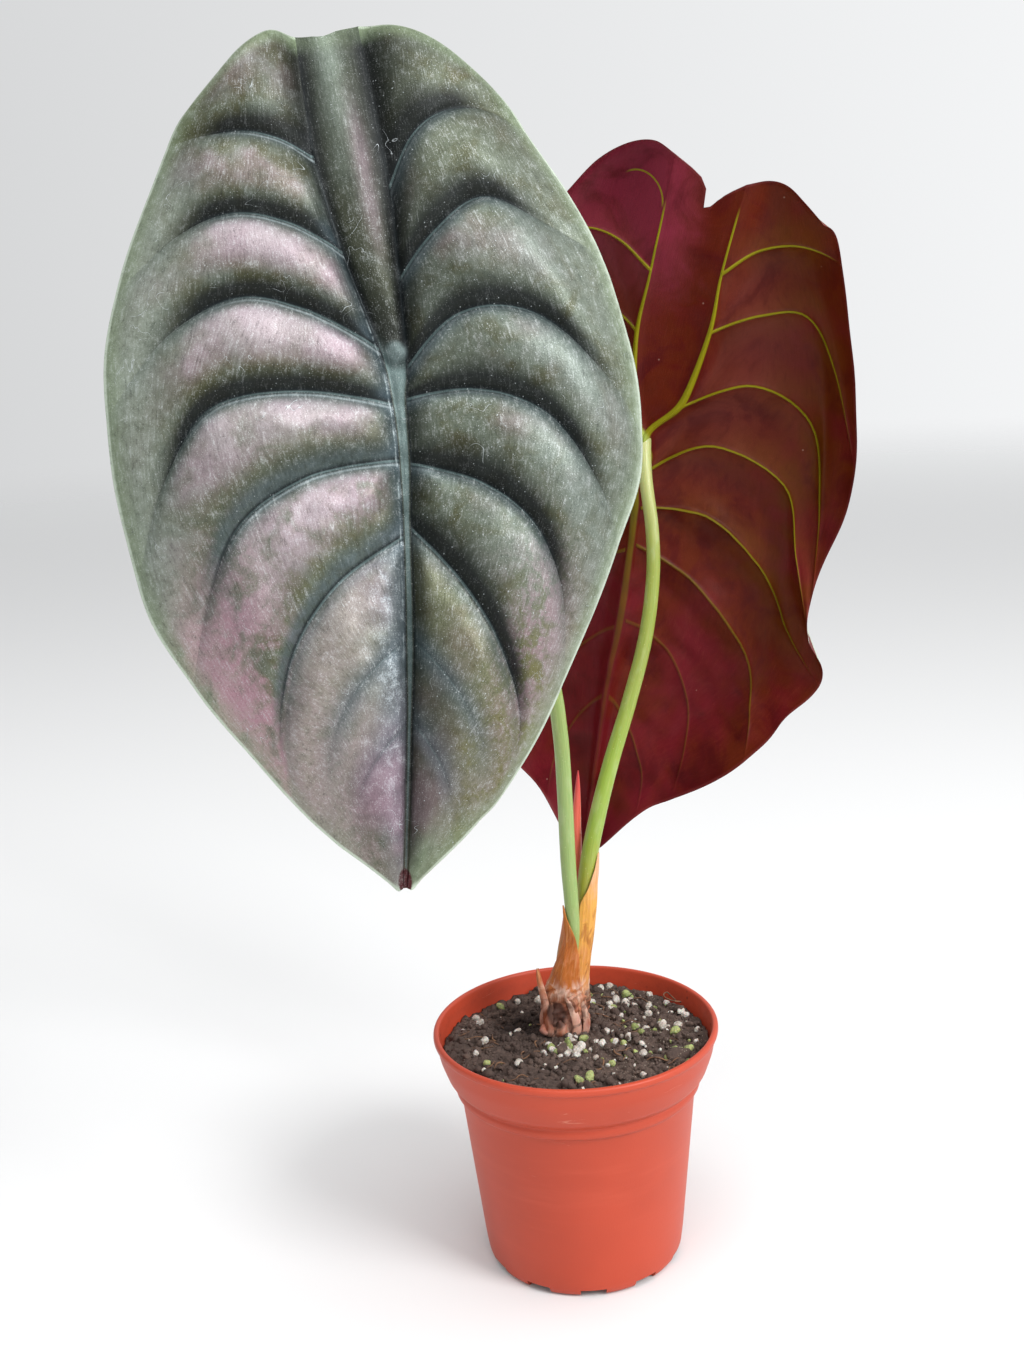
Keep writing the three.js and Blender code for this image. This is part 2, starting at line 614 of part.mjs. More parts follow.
const sheathLeft = sheath({
  heights: [SHEATH_FOOT, 78, 84, 92, 99, 107, 116],
  axisX: [-3, -2.3, -2.2, -1.8, -0.9, -0.2, 0],
  axisY: [8, 8, 7.4, 4.8, 3.9, 3.7, 3.6],
  radius: [8.4, 8.2, 7.6, 4, 3.3, 3, 2.9],
  from: [150, 150, 152, 160, 168, 175, 184],
  to: [325, 325, 320, 300, 275, 240, 200],
  pleat: 0.4,
});
const stripPath = [[-9.2, 3.4, 79], [-10, 3.2, 84], [-11.2, 3, 90], [-11.8, 3, 96]];
const strip = stalk(stripPath, [1.1, 1, 0.9, 0.6], 6, 8);
add('sheath_left', geometryFrom(solid(sheathLeft).add(solid(strip))), 0xb97b45, 0.75);

add('soil', geometryFrom(soil), 0x2b211c, 0.95);

export default group;
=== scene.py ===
# %% [markdown]
# # A potted alocasia
# The real thing is a young plant in a nursery pot: two shield-shaped leaves on slim stalks, a rolled new
# leaf, two dry sheaths round the stem, and dark soil with perlite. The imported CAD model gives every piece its
# size and place. Each cell below makes one piece finer, or gives it its finish. Lengths are in millimetres
# while a shape is worked out, and in metres once it is in a mesh. +Z is up, and the pot stands at zero.

# %% Load the fixed frame
from types import SimpleNamespace

import bpy
import bmesh
import numpy as np
from mathutils import Matrix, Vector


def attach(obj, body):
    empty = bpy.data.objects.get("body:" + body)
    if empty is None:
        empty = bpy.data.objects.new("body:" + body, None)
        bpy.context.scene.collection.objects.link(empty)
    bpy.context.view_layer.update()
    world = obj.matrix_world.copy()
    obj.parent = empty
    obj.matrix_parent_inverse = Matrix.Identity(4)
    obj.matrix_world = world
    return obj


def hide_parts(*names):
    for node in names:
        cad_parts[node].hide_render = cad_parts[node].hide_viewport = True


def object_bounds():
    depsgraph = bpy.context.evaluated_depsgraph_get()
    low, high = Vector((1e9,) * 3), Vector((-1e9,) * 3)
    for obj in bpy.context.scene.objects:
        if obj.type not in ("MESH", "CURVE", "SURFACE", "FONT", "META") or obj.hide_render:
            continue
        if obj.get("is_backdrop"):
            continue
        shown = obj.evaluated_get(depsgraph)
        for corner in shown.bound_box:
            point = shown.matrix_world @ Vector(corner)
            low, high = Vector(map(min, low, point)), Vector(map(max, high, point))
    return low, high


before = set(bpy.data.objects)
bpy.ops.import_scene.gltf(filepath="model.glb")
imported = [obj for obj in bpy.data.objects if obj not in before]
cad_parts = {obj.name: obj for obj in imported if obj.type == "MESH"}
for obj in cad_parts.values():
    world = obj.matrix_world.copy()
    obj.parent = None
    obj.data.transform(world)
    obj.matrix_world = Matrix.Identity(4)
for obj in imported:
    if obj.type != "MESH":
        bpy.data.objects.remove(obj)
cad_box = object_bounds()
print("CAD nodes:", ", ".join(sorted(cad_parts)))
print("CAD box in metres:", [round(x, 3) for corner in cad_box for x in corner])

# %% [markdown]
# ## The camera
# The picture was taken from a little above the plant, close enough for the pot's rim to look like an open
# oval. Such a view could be set by trial, but it is better solved: the rim and the foot of the pot are
# circles of known size, and their ovals in the picture fix the lens, the distance and the tilt. The camera's
# own axes are its right, its up and its backward direction, and they are the columns of its matrix.

# %% Set the camera
CAMERA_AT = (-14.0, -440.0, 287.5)
CAMERA_DOWN = np.radians(12.7)
CAMERA_ROLL = np.radians(-3.15)
FOCAL_PIXELS, LONG_SIDE = 1500.0, 1365.0

forward = np.array([0, np.cos(CAMERA_DOWN), -np.sin(CAMERA_DOWN)])
level_up = np.array([0, np.sin(CAMERA_DOWN), np.cos(CAMERA_DOWN)])
level_right = np.array([1.0, 0, 0])
right = np.cos(CAMERA_ROLL) * level_right + np.sin(CAMERA_ROLL) * level_up
up = np.cos(CAMERA_ROLL) * level_up - np.sin(CAMERA_ROLL) * level_right

camera = bpy.data.objects.new("camera", bpy.data.cameras.new("camera"))
bpy.context.scene.collection.objects.link(camera)
camera.data.sensor_width = 36.0
camera.data.lens = FOCAL_PIXELS / LONG_SIDE * camera.data.sensor_width
placed = np.eye(4)
placed[:3, :3] = np.column_stack([right, up, -forward])
placed[:3, 3] = np.array(CAMERA_AT) / 1000
camera.matrix_world = Matrix(placed.tolist())
bpy.context.scene.camera = camera
print("lens in millimetres:", round(camera.data.lens, 2))

# %% [markdown]
# ## Shader sums
# A finish is a sum of masks: how near a vein is, how deep in a fold, how far to the edge. Drawn as boxes
# and wires such sums are hard to read, so one small class wraps a socket and lets Python's own signs add the
# Math nodes. Any other node comes from one method, which makes the settings first and then fills the sockets.

# %% A wire that can be added and multiplied
class Wire:
    """An output socket of a node tree. A sum or product with it adds one Math node."""

    def __init__(self, paint, socket):
        self.paint = paint
        self.socket = socket

    def maths(self, operation, first, second=None):
        """The Math node of that operation on one or two values or wires."""
        inputs = {0: first} if second is None else {0: first, 1: second}
        return self.paint.node("ShaderNodeMath", {"operation": operation}, inputs)

    def __add__(self, other):
        return self.maths("ADD", self, other)

    def __sub__(self, other):
        return self.maths("SUBTRACT", self, other)

    def __rsub__(self, other):
        return self.maths("SUBTRACT", other, self)

    def __mul__(self, other):
        return self.maths("MULTIPLY", self, other)

    def __truediv__(self, other):
        return self.maths("DIVIDE", self, other)

    def __pow__(self, other):
        return self.maths("POWER", self, other)

    __radd__ = __add__
    __rmul__ = __mul__

    def size(self):
        return self.maths("ABSOLUTE", self)

    def fraction(self):
        return self.maths("FRACT", self)

    def larger(self, other):
        return self.maths("MAXIMUM", self, other)

    def smaller(self, other):
        return self.maths("MINIMUM", self, other)

    def above(self, limit):
        """1 where the value is above the limit, else 0."""
        return self.maths("GREATER_THAN", self, limit)

    def step(self, low=0.0, high=1.0):
        """0 up to low and 1 from high on, eased between them. With low above high it falls instead."""
        settings = {"interpolation_type": "SMOOTHSTEP"}
        return self.paint.node("ShaderNodeMapRange", settings, {0: self, 1: low, 2: high})

    def bell(self, width):
        """exp(-(x / width) squared): 1 at zero, fading out to both sides."""
        share = self / width
        return self.maths("EXPONENT", share * share * -1.0)


# %% [markdown]
# A material keeps its tree in one object. Its helpers cover what every finish here needs: reading the
# numbers that a mesh carries, and noise at a given grain. The colour is built up as a painter would: it
# starts as two tones, further tones are laid over it, and the closing shader takes it with its bump.

# %% A material's node tree
def light_of(tone):
    """A tone is red, green and blue as the eye reads them, from 0 to 1. Shaders want light values."""
    if isinstance(tone, Wire):
        return tone
    seen = np.array(tone)
    light = np.where(seen <= 0.04045, seen / 12.92, ((seen + 0.055) / 1.055) ** 2.4)
    return (*light.tolist(), 1.0)


class Paint:
    """One material, or the world. node() adds any node, and the others are those that come up often."""

    def __init__(self, name, owner=None):
        self.material = owner or bpy.data.materials.new(name)
        self.material.use_nodes = True
        self.tree = self.material.node_tree
        self.tree.nodes.clear()

    def node(self, kind, settings=None, inputs=None, output=0):
        """Adds a node with its settings, fills its inputs with values or wires, and gives one output."""
        made = self.tree.nodes.new(kind)
        for name, value in (settings or {}).items():
            setattr(made, name, value)
        for name, value in (inputs or {}).items():
            if isinstance(value, Wire):
                self.tree.links.new(value.socket, made.inputs[name])
            else:
                made.inputs[name].default_value = value
        return Wire(self, made.outputs[output]) if made.outputs else None

    def parts(self, vector):
        """The three numbers of a vector."""
        split = self.node("ShaderNodeSeparateXYZ", inputs={0: vector}).socket.node
        return [Wire(self, socket) for socket in split.outputs]

    def vector(self, x, y, z=0.0):
        return self.node("ShaderNodeCombineXYZ", inputs={0: x, 1: y, 2: z})

    def carried(self, name):
        """The vector that the mesh carries under a name, one for each of its points."""
        return self.node("ShaderNodeAttribute", {"attribute_name": name}, output="Vector")

    def place(self):
        """Where on the object a point is, in metres."""
        return self.node("ShaderNodeTexCoord", output="Object")

    def noise(self, where, scale, detail=2.0, roughness=0.5, distortion=0.0):
        """Cloudy noise about 0.5, with one cloud in 1 / scale of a unit."""
        inputs = {"Vector": where, "Scale": scale, "Detail": detail}
        inputs |= {"Roughness": roughness, "Distortion": distortion}
        return self.node("ShaderNodeTexNoise", inputs=inputs)

    def specks(self, where, scale, size, share):
        """Small round dots in a share of the cells of a Voronoi pattern."""
        cells = self.node("ShaderNodeTexVoronoi", inputs={"Vector": where, "Scale": scale})
        drawn = self.parts(Wire(self, cells.socket.node.outputs["Color"]))[0]
        return cells.step(size, size * 0.5) * drawn.above(1 - share)

    def length(self, vector):
        return self.node("ShaderNodeVectorMath", {"operation": "LENGTH"}, {0: vector}, output=1)

    def mix(self, share, first, second):
        """A colour that goes from the first tone to the second as share goes from 0 to 1."""
        inputs = {0: share, 6: light_of(first), 7: light_of(second)}
        return self.node("ShaderNodeMix", {"data_type": "RGBA"}, inputs, output=2)

    def start(self, share, first, second):
        """Starts the base colour as a mix of two tones."""
        self.base = self.mix(share, first, second)

    def lay(self, share, tone):
        """Lays one more tone over the base colour, as far as share says."""
        self.base = self.mix(share, self.base, tone)

    def by_height(self, height, bottom, *changes):
        """The bottom tone, and each further one laid over it between two heights in millimetres."""
        self.base = bottom
        for low, high, tone in changes:
            self.lay(height.step(low, high), tone)

    def finish(self, roughness, bump, bump_mm, **constants):
        """The closing shader. bump is a height from 0 to 1 that stands for bump_mm of relief."""
        inputs = {"Base Color": self.base, "Roughness": roughness}
        for name, value in constants.items():
            inputs[name.replace("_", " ")] = value
        relief = {"Height": bump, "Distance": bump_mm / 1000, "Strength": 1.0}
        inputs["Normal"] = self.node("ShaderNodeBump", inputs=relief)
        shader = self.node("ShaderNodeBsdfPrincipled", inputs=inputs)
        self.node("ShaderNodeOutputMaterial", inputs={"Surface": shader})
        print("finish", self.material.name, "with", len(self.tree.nodes), "nodes")
        return self.material


# %% [markdown]
# ## The floor and the light
# The plant stands on a plain pale floor. A floor that simply ends would draw a horizon behind the leaves,
# so it fades out into an equally pale world. The light is soft: a large key from the upper right, as the
# bright right side of the pot asks for, a wide one overhead for the upper slopes of the quilted leaves, and a
# weak fill from the upper left. The world is brighter on the right too, like a room with its window there.

# %% Build the stage
scene = bpy.context.scene
scene.view_settings.view_transform = "Standard"

FLOOR_RADIUS = 5.0
disc = bmesh.new()
bmesh.ops.create_circle(disc, cap_ends=True, segments=96, radius=FLOOR_RADIUS)
floor_mesh = bpy.data.meshes.new("floor")
disc.to_mesh(floor_mesh)
disc.free()
floor = bpy.data.objects.new("floor", floor_mesh)
scene.collection.objects.link(floor)
floor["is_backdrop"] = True

paint = Paint("pale_floor")
x, y, _ = paint.parts(paint.place())
away = (x * x + y * y) ** 0.5
plain = paint.node("ShaderNodeBsdfDiffuse", inputs={"Color": (0.72, 0.72, 0.72, 1)})
clear = paint.node("ShaderNodeBsdfTransparent")
faded = paint.node("ShaderNodeMixShader", inputs={0: away.step(0.9, 4.5), 1: plain, 2: clear})
paint.node("ShaderNodeOutputMaterial", inputs={"Surface": faded})
floor_mesh.materials.append(paint.material)

WORLD_LIGHT, WORLD_SLOPE = 0.8, 0.36
scene.world = bpy.data.worlds.new("pale_world")
paint = Paint("pale_world", scene.world)
to_right, _, _ = paint.parts(paint.node("ShaderNodeTexCoord", output="Generated"))
glow = {"Color": (0.98, 0.99, 1.0, 1), "Strength": to_right * WORLD_SLOPE + WORLD_LIGHT}
paint.node("ShaderNodeOutputWorld", inputs={"Surface": paint.node("ShaderNodeBackground", inputs=glow)})


def soft_light(name, at, aim, size, watts):
    """A square area light at a place in metres, turned to face its aim."""
    light = bpy.data.objects.new(name, bpy.data.lights.new(name, "AREA"))
    light.data.size = size
    light.data.energy = watts
    scene.collection.objects.link(light)
    back = np.array(at) - np.array(aim)
    back /= np.linalg.norm(back)
    side = np.cross([0.0, 0.0, 1.0], back) + np.array([1e-6, 0, 0])
    side /= np.linalg.norm(side)
    turned = np.eye(4)
    turned[:3, :3] = np.column_stack([side, np.cross(back, side), back])
    turned[:3, 3] = at
    light.matrix_world = Matrix(turned.tolist())


PLANT_MIDDLE = (0.0, 0.0, 0.2)
soft_light("key", (0.85, -0.7, 0.95), PLANT_MIDDLE, 0.5, 15)
soft_light("overhead", (-0.1, -0.35, 1.3), PLANT_MIDDLE, 0.8, 8)
soft_light("fill", (-0.8, -0.8, 0.95), PLANT_MIDDLE, 0.8, 1.5)

# %% [markdown]
# ## Surfaces from formulas
# Leaves, stalks and sheaths are smooth surfaces over two numbers: how far along and how far across. They
# could be sculpted, but a formula gives both faces of a thin leaf exactly, at any fineness. The curves are
# the same as in the CAD source: smooth lines through given points. Reading such a line is a weighted sum of
# the points, so a whole leaf half is two matrix products.

# %% Smooth lines and small helpers
def spline_weights(index, count):
    """How much each of count points weighs in the smooth line through them, at fractional indices.

    Between point i and the next, at the share x: the points i-1, i, i+1 and i+2 weigh (-x + 2xx - xxx) / 2,
    (2 - 5xx + 3xxx) / 2, (x + 4xx - 3xxx) / 2 and (xxx - xx) / 2. The end points stand in for those beyond.
    """
    index = np.clip(np.asarray(index, float), 0, count - 1)
    start = np.minimum(index.astype(int), count - 2)
    x = index - start
    shares = [-x + 2 * x**2 - x**3, 2 - 5 * x**2 + 3 * x**3, x + 4 * x**2 - 3 * x**3, x**3 - x**2]
    weights = np.zeros((index.size, count))
    for offset, share in zip([-1, 0, 1, 2], shares):
        np.add.at(weights, (np.arange(index.size), np.clip(start + offset, 0, count - 1)), share / 2)
    return weights


def through(values, index):
    """The smooth line through values, read at fractional indices."""
    return spline_weights(index, len(values)) @ np.array(values, float)


def eased(low, high, x):
    """0 up to low and 1 from high on: 3ss - 2sss for the share s between them."""
    s = np.clip((x - low) / (high - low), 0, 1)
    return s * s * (3 - 2 * s)


def bell(x, width):
    """exp(-(x / width) squared)."""
    return np.exp(-((x / width) ** 2))


def between(low, high, share):
    """The value at that share of the way from low to high."""
    return low + (high - low) * share


def crowded(count, crowding=0.75):
    """Shares from 0 to 1 that lie closer together at both ends: q - crowding * sin(2 pi q) / (2 pi)."""
    q = np.arange(count + 1) / count
    return q - crowding * np.sin(2 * np.pi * q) / (2 * np.pi)


def rolling(points, wavelength, seed, waves=9):
    """Smooth random relief of about -1 to 1: the sum of sine waves in drawn directions."""
    chance = np.random.default_rng(seed)
    ways = chance.normal(size=(waves, points.shape[-1]))
    lengths = wavelength * chance.uniform(0.65, 1.5, waves) * np.linalg.norm(ways, axis=1)
    ways *= 2 * np.pi / lengths[:, None]
    return np.sin(points @ ways.T + chance.uniform(0, 6.28, waves)).sum(-1) / np.sqrt(waves)


# %% [markdown]
# Two kinds of closed solid cover nearly every piece: a thin sheet with an upper face, a lower face and a
# rounded edge, and a round body of rings with a cap on each end.

# %% Closed solids in a mesh
def new_piece(name, points, faces, finishes, face_finish=None, carried=None):
    """Puts points in millimetres and faces into a mesh, with its materials and the vectors it carries."""
    mesh = bpy.data.meshes.new(name)
    mesh.from_pydata((points / 1000).tolist(), [], [face.tolist() for group in faces for face in group])
    for finish in finishes:
        mesh.materials.append(finish)
    if face_finish is not None:
        mesh.polygons.foreach_set("material_index", np.asarray(face_finish, np.int32))
    mesh.polygons.foreach_set("use_smooth", np.ones(len(mesh.polygons), bool))
    for label, vectors in (carried or {}).items():
        layer = mesh.attributes.new(label, "FLOAT_VECTOR", "POINT")
        layer.data.foreach_set("vector", vectors.astype(np.float32).ravel())
    mesh.update()
    piece = bpy.data.objects.new(name, mesh)
    scene.collection.objects.link(piece)
    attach(piece, "root")
    triangles = sum(len(group) * (group.shape[1] - 2) for group in faces)
    span = np.ptp(points, axis=0)
    print(f"{name}: {triangles} triangles, {span[0]:.0f} x {span[1]:.0f} x {span[2]:.0f} mm")
    return piece


def grid_quads(at):
    """The four-sided faces of a grid of point numbers."""
    return np.stack([at[:-1, :-1], at[1:, :-1], at[1:, 1:], at[:-1, 1:]], -1).reshape(-1, 4)


def sheet_solid(upper, lower, bulge):
    """A closed thin sheet between two grids of points, with a middle ring that stands out by bulge.

    Gives the points, the faces, which of the three sides each face is on, and the edge's point numbers.
    """
    rows, columns = upper.shape[:2]
    at = np.arange(rows * columns).reshape(rows, columns)
    edge = np.concatenate([at[0, :-1], at[:-1, -1], at[-1, :0:-1], at[:0:-1, 0]])
    inner = np.concatenate([at[1, :-1], at[:-1, -2], at[-2, :0:-1], at[:0:-1, 1]])
    top, bottom = upper.reshape(-1, 3), lower.reshape(-1, 3)
    outward = top[edge] - top[inner]
    outward /= np.linalg.norm(outward, axis=1, keepdims=True) + 1e-9
    ring = (top[edge] + bottom[edge]) / 2 + bulge * outward
    first, second, third = edge, np.arange(edge.size) + 2 * at.size, edge + at.size
    bands = [
        np.stack([a, np.roll(a, -1), np.roll(b, -1), b], -1)
        for a, b in [(first, second), (second, third)]
    ]
    faces = [grid_quads(at), grid_quads(at + at.size)[:, ::-1], *bands]
    side = np.repeat([0, 1, 2, 2], [len(group) for group in faces])
    return np.concatenate([top, bottom, ring]), faces, side, edge


def ring_solid(rings):
    """A closed round body: rings of points one after the other, each end closed at its middle."""
    count, sides = rings.shape[:2]
    at = np.arange(count * sides).reshape(count, sides)
    wall = np.concatenate([at, at[:, :1]], axis=1)
    quads = grid_quads(wall)[:, ::-1]
    ends = rings[[0, -1]].mean(axis=1)
    first, last = count * sides, count * sides + 1
    foot = np.stack([np.full(sides, first), wall[0, 1:], wall[0, :-1]], -1)
    head = np.stack([np.full(sides, last), wall[-1, :-1], wall[-1, 1:]], -1)
    return np.concatenate([rings.reshape(-1, 3), ends]), [quads, foot, head]


# %% [markdown]
# ## The leaf blades
# A blade of this plant is a shield with its stalk fixed inside the outline. Two ribs run up from the stalk
# into the back lobes and a midrib runs down to the tip, and curved side veins leave them. Between two veins
# the blade swells into a pillow, so the leaf looks quilted. Each row of the tables is one side vein in five
# points, from its rib to the margin, as in the CAD source: millimetres down to the tip and to the right,
# from the stalk. A modelled plane with a bump map would lose the pillows, which are up to four millimetres
# high, so they are real relief here, and every vein line of the mesh falls on a vein.

# %% The two leaves
FRONT_LEAF = {
    "top_edge": [[-81.5, -17], [-81, -13.5], [-80.5, -10], [-82.5, -6], [-84, -1]],
    "left": [
        [[-81.5, -17], [-82.5, -23], [-78.5, -30], [-72, -37], [-65, -44.5]],
        [[-50, -15], [-53.5, -23], [-55.5, -32], [-55.5, -42], [-55, -51]],
        [[-25.5, -10], [-32, -23], [-34.5, -36], [-30.5, -50], [-18.5, -66.5]],
        [[-1, -3], [-10.5, -21], [-13.5, -37], [-5.5, -55], [12, -71]],
        [[13, -1], [9.5, -24], [13, -45.5], [30.5, -58.5], [52.5, -67]],
        [[27, -0.5], [30, -22], [40.5, -40], [58, -49.5], [79, -56]],
        [[46, -1], [56.5, -18], [72, -30], [91, -35], [110, -34]],
        [[72, -2.5], [77, -10], [86, -18], [99, -23.5], [120, -25.5]],
        [[93, -4], [97, -9], [103, -14], [111.5, -17.5], [127, -18]],
        [[134.4, -8], [134.6, -8.3], [134.8, -8.7], [135, -9], [135, -9.4]],
    ],
    "right": [
        [[-84, -1], [-83, 7], [-80, 15], [-75, 23], [-68, 31.5]],
        [[-41.5, 3], [-52.5, 9], [-58.5, 17], [-60, 27.5], [-56, 40]],
        [[-18, 3.5], [-28, 12.5], [-36, 25], [-30.5, 40], [-22, 57]],
        [[4, 3.5], [-7.5, 17], [-6.5, 35.5], [8.5, 52.5], [23.5, 63]],
        [[12, 2.5], [11.5, 20], [19, 37], [36.5, 49], [51, 55]],
        [[28, 2.2], [34.5, 19], [45.5, 31], [63, 37.5], [86, 37.5]],
        [[44, 1], [57.5, 11.5], [74, 20], [93, 24.5], [112, 21.5]],
        [[72, -0.5], [80, 5.5], [89, 10.5], [102, 14.5], [120, 13]],
        [[92, -2.5], [98, 1], [105, 4], [114, 5.5], [127, 4.5]],
        [[134.4, -7], [134.6, -6.7], [134.8, -6.3], [135, -6], [135, -5.6]],
    ],
    "arch": 7, "curl": 6, "wave": 0.8, "strip": 2.6, "pinch": 0.0, "nick": 0.0, "ease": 0.1,
    "stalk_at": (-39.3, -58, 287.1), "faces": -1, "tilt": 12, "yaw": 8, "roll": 0,
}
BACK_LEAF = {
    "top_edge": [[-79.5, -22.5], [-75, -15.5], [-69.5, -11], [-79, -10.5], [-86, -1.5]],
    "left": [
        [[-79.5, -22.5], [-81, -28.5], [-80, -34], [-76, -39.5], [-71, -45.5]],
        [[-53.5, -18.5], [-60, -27], [-63, -37], [-62.5, -46], [-60.5, -53]],
        [[-35.5, -17], [-41.5, -31], [-42.5, -45], [-26.5, -56], [1.5, -66.5]],
        [[-11, -11], [-19.5, -32], [-9.5, -51], [15.5, -57.5], [43, -60]],
        [[11, -2], [1.5, -21.5], [11, -45.5], [33.5, -53], [57, -61]],
        [[23, -1.8], [25.5, -24.5], [42.5, -44], [61.5, -55], [75, -67]],
        [[36, -1.6], [48, -21.5], [70, -41.5], [88.5, -46], [103, -47]],
        [[62.5, -1], [73.5, -15.5], [91.5, -24.5], [108, -26], [123, -24]],
        [[90.5, 1.5], [99, -4], [108.5, -9], [119.5, -13], [132, -13]],
        [[149, 3], [149.2, 2.7], [149.4, 2.3], [149.6, 1.9], [149.6, 1.5]],
    ],
    "right": [
        [[-86, -1.5], [-89, 5], [-87.5, 13], [-82, 21.5], [-73, 29]],
        [[-52.5, 2.5], [-59, 12], [-62, 22], [-60.5, 32.5], [-57.5, 40]],
        [[-33.5, 5], [-40.5, 17.5], [-42.5, 31.5], [-34, 43], [-9.5, 53]],
        [[-10, 4], [-18, 20.5], [-17.5, 38], [1, 50], [31.5, 57]],
        [[12, 2], [3.5, 21], [12, 41], [34.5, 51.5], [55, 55]],
        [[24, 1.8], [25, 21], [42.5, 40.5], [61.5, 48.5], [78.5, 51]],
        [[38, 1.6], [49, 17.5], [68, 35], [85.5, 40], [99.5, 41]],
        [[65.5, 2.5], [77.5, 14.5], [93, 23.5], [107, 26.5], [119.5, 30]],
        [[90.5, 3.9], [100, 11], [110.5, 16], [119.5, 18.5], [131, 18.5]],
        [[149, 4], [149.2, 4.3], [149.4, 4.7], [149.6, 5.1], [149.6, 5.5]],
    ],
    "arch": 6, "curl": 4, "wave": 3.2, "strip": 1.4, "pinch": 0.85, "nick": 2.4, "ease": 0.4,
    "stalk_at": (31.5, 38, 256.7), "faces": 1, "tilt": 12, "yaw": -15, "roll": 10,
}
LAST_ROW = 9
LOWEST_RIB_ROW = 3
STALK_ROW, NICK_ROW = 3.45, 5.45
print("side veins on a leaf half:", LAST_ROW - 1)

# %% [markdown]
# The grid's lines crowd together at the veins, the ribs and the margin, where the relief is sharpest. Along
# with each point's place on the blade goes how far it is, in true millimetres, from the nearest side vein,
# the nearest rib and the margin: the size of a step across the surface's own lines is worked out from the
# cross product of its two directions. The finishes draw their vein lines from these distances, so the lines
# stay crisp and as thin as real ones whatever the mesh.

# %% The blade as a grid of places and distances
ROWS_PER_VEIN, HALF_STEPS, MIDDLE_STEPS = 30, 46, 14
down_leaf = np.concatenate([k + crowded(ROWS_PER_VEIN)[:-1] for k in range(LAST_ROW)] + [[LAST_ROW]])
from_rib = crowded(HALF_STEPS, 0.7)
over_middle = crowded(MIDDLE_STEPS, 0.5)


def strides(grid, rows, columns):
    """How many millimetres apart the grid's row lines and its column lines are, for one unit of each."""
    by_row = np.gradient(grid, rows, axis=0)
    by_column = np.gradient(grid, columns, axis=1)
    area = np.abs(by_row[..., 0] * by_column[..., 1] - by_row[..., 1] * by_column[..., 0])
    row_length = np.linalg.norm(by_row, axis=-1) + 1e-6
    column_length = np.linalg.norm(by_column, axis=-1) + 1e-6
    return area / column_length, area / row_length


def flat_half(rows, pinch):
    """One half of a blade: at row p and share t, the smooth line through its rows and through their points.

    Next to the stalk the ribs of the real leaf run together. pinch is the share of the way that the rib
    is drawn to the stalk there: times exp(-(rows off / 0.3) squared), times (1 - t) to the sixth power.
    """
    rows = np.array(rows, float)
    along = spline_weights(down_leaf, LAST_ROW + 1)
    out = spline_weights(from_rib * 4, 5)
    grid = np.einsum("pi,tj,ijc->ptc", along, out, rows)
    drawn = pinch * bell(down_leaf - STALK_ROW, 0.3)[:, None] * (1 - from_rib) ** 6
    grid[..., 1] -= drawn * grid[:, :1, 1]
    return grid


def flat_middle(leaf, left, right):
    """The strip between the ribs, with its top end bent to follow the notch between the lobes."""
    s = over_middle[None, :, None]
    straight = between(left[:, :1], right[:, :1], s)
    edge = through(leaf["top_edge"], over_middle * 4)
    fade = (1 - np.clip(down_leaf, 0, 1)) ** 3
    return straight + (edge - straight[0])[None] * fade[:, None, None]


def measured(grid, shares, rib_sign):
    """Distances from the nearest side vein, rib and margin of every point, in millimetres."""
    row_step, column_step = strides(grid, down_leaf, shares)
    p = down_leaf[:, None]
    vein = np.abs(p - np.clip(np.round(p), 1, LAST_ROW - 1)) * row_step
    if rib_sign > 0:
        rib = shares * column_step
        margin = np.minimum((1 - shares) * column_step, p * row_step)
    else:
        rib = -np.minimum(shares, 1 - shares) * column_step
        margin = p * row_step + 0 * rib
    return np.stack([vein, rib, margin], -1)


# %% [markdown]
# The height over the drawing plane adds up what a real blade shows. Each half arches up from its rib and
# curls back at the margin in a few waves. The pillows stand on that, and the tissue draws in to a narrow
# crease along every vein, with the vein as a fine cord in it. On the underside the same veins stand out as
# round cords, thickest at the stalk. All of it fades towards the tip.

# %% The height of both faces
BLADE_THICKNESS = 0.9
MARGIN_THICKNESS = 0.5
BEND_RADIUS = 700
PILLOW_STEEPNESS, PILLOW_LIMIT = 0.17, 4
LAST_CREASE, TIP_PILLOW = 6, 2.2


def pillows(leaf_rows, ease):
    """Height of the pillow at every point of a half: a rounded swell between one side vein and the next.

    Below the last creased vein one broad swell runs out to the tip, with only a trace of the veins in it.
    In the lobes the swell starts more slowly from the rib, over a share of 0.12 + ease.
    """
    rows = np.array(leaf_rows, float)
    on_veins = np.einsum("tj,ijc->itc", spline_weights(from_rib * 4, 5), rows)
    widths = np.linalg.norm(np.diff(on_veins, axis=0), axis=-1)
    row = np.minimum(down_leaf.astype(int), LAST_ROW - 1)
    share = (down_leaf - row)[:, None]
    rounded = np.maximum(0, np.sin(np.pi * share**0.8)) ** 0.75
    start = 0.12 + ease * (1 - eased(0.5, 2, down_leaf))[:, None]
    fade = eased(0, start, from_rib) * (1 - 0.8 * eased(0.6, 1, from_rib))
    quilted = np.minimum(PILLOW_LIMIT, PILLOW_STEEPNESS * widths[row]) * rounded
    below = (down_leaf[:, None] - LAST_CREASE) / (LAST_ROW - LAST_CREASE)
    broad = TIP_PILLOW * eased(0, 0.14, below) * (1 - 0.8 * eased(0.2, 1, below))
    return np.where(below > 0, 0.12 * quilted + broad, quilted) * fade


def in_lobes(p):
    """1 in the back lobes, 0 from the second side vein on."""
    return 1 - eased(0.8, 2.2, p)


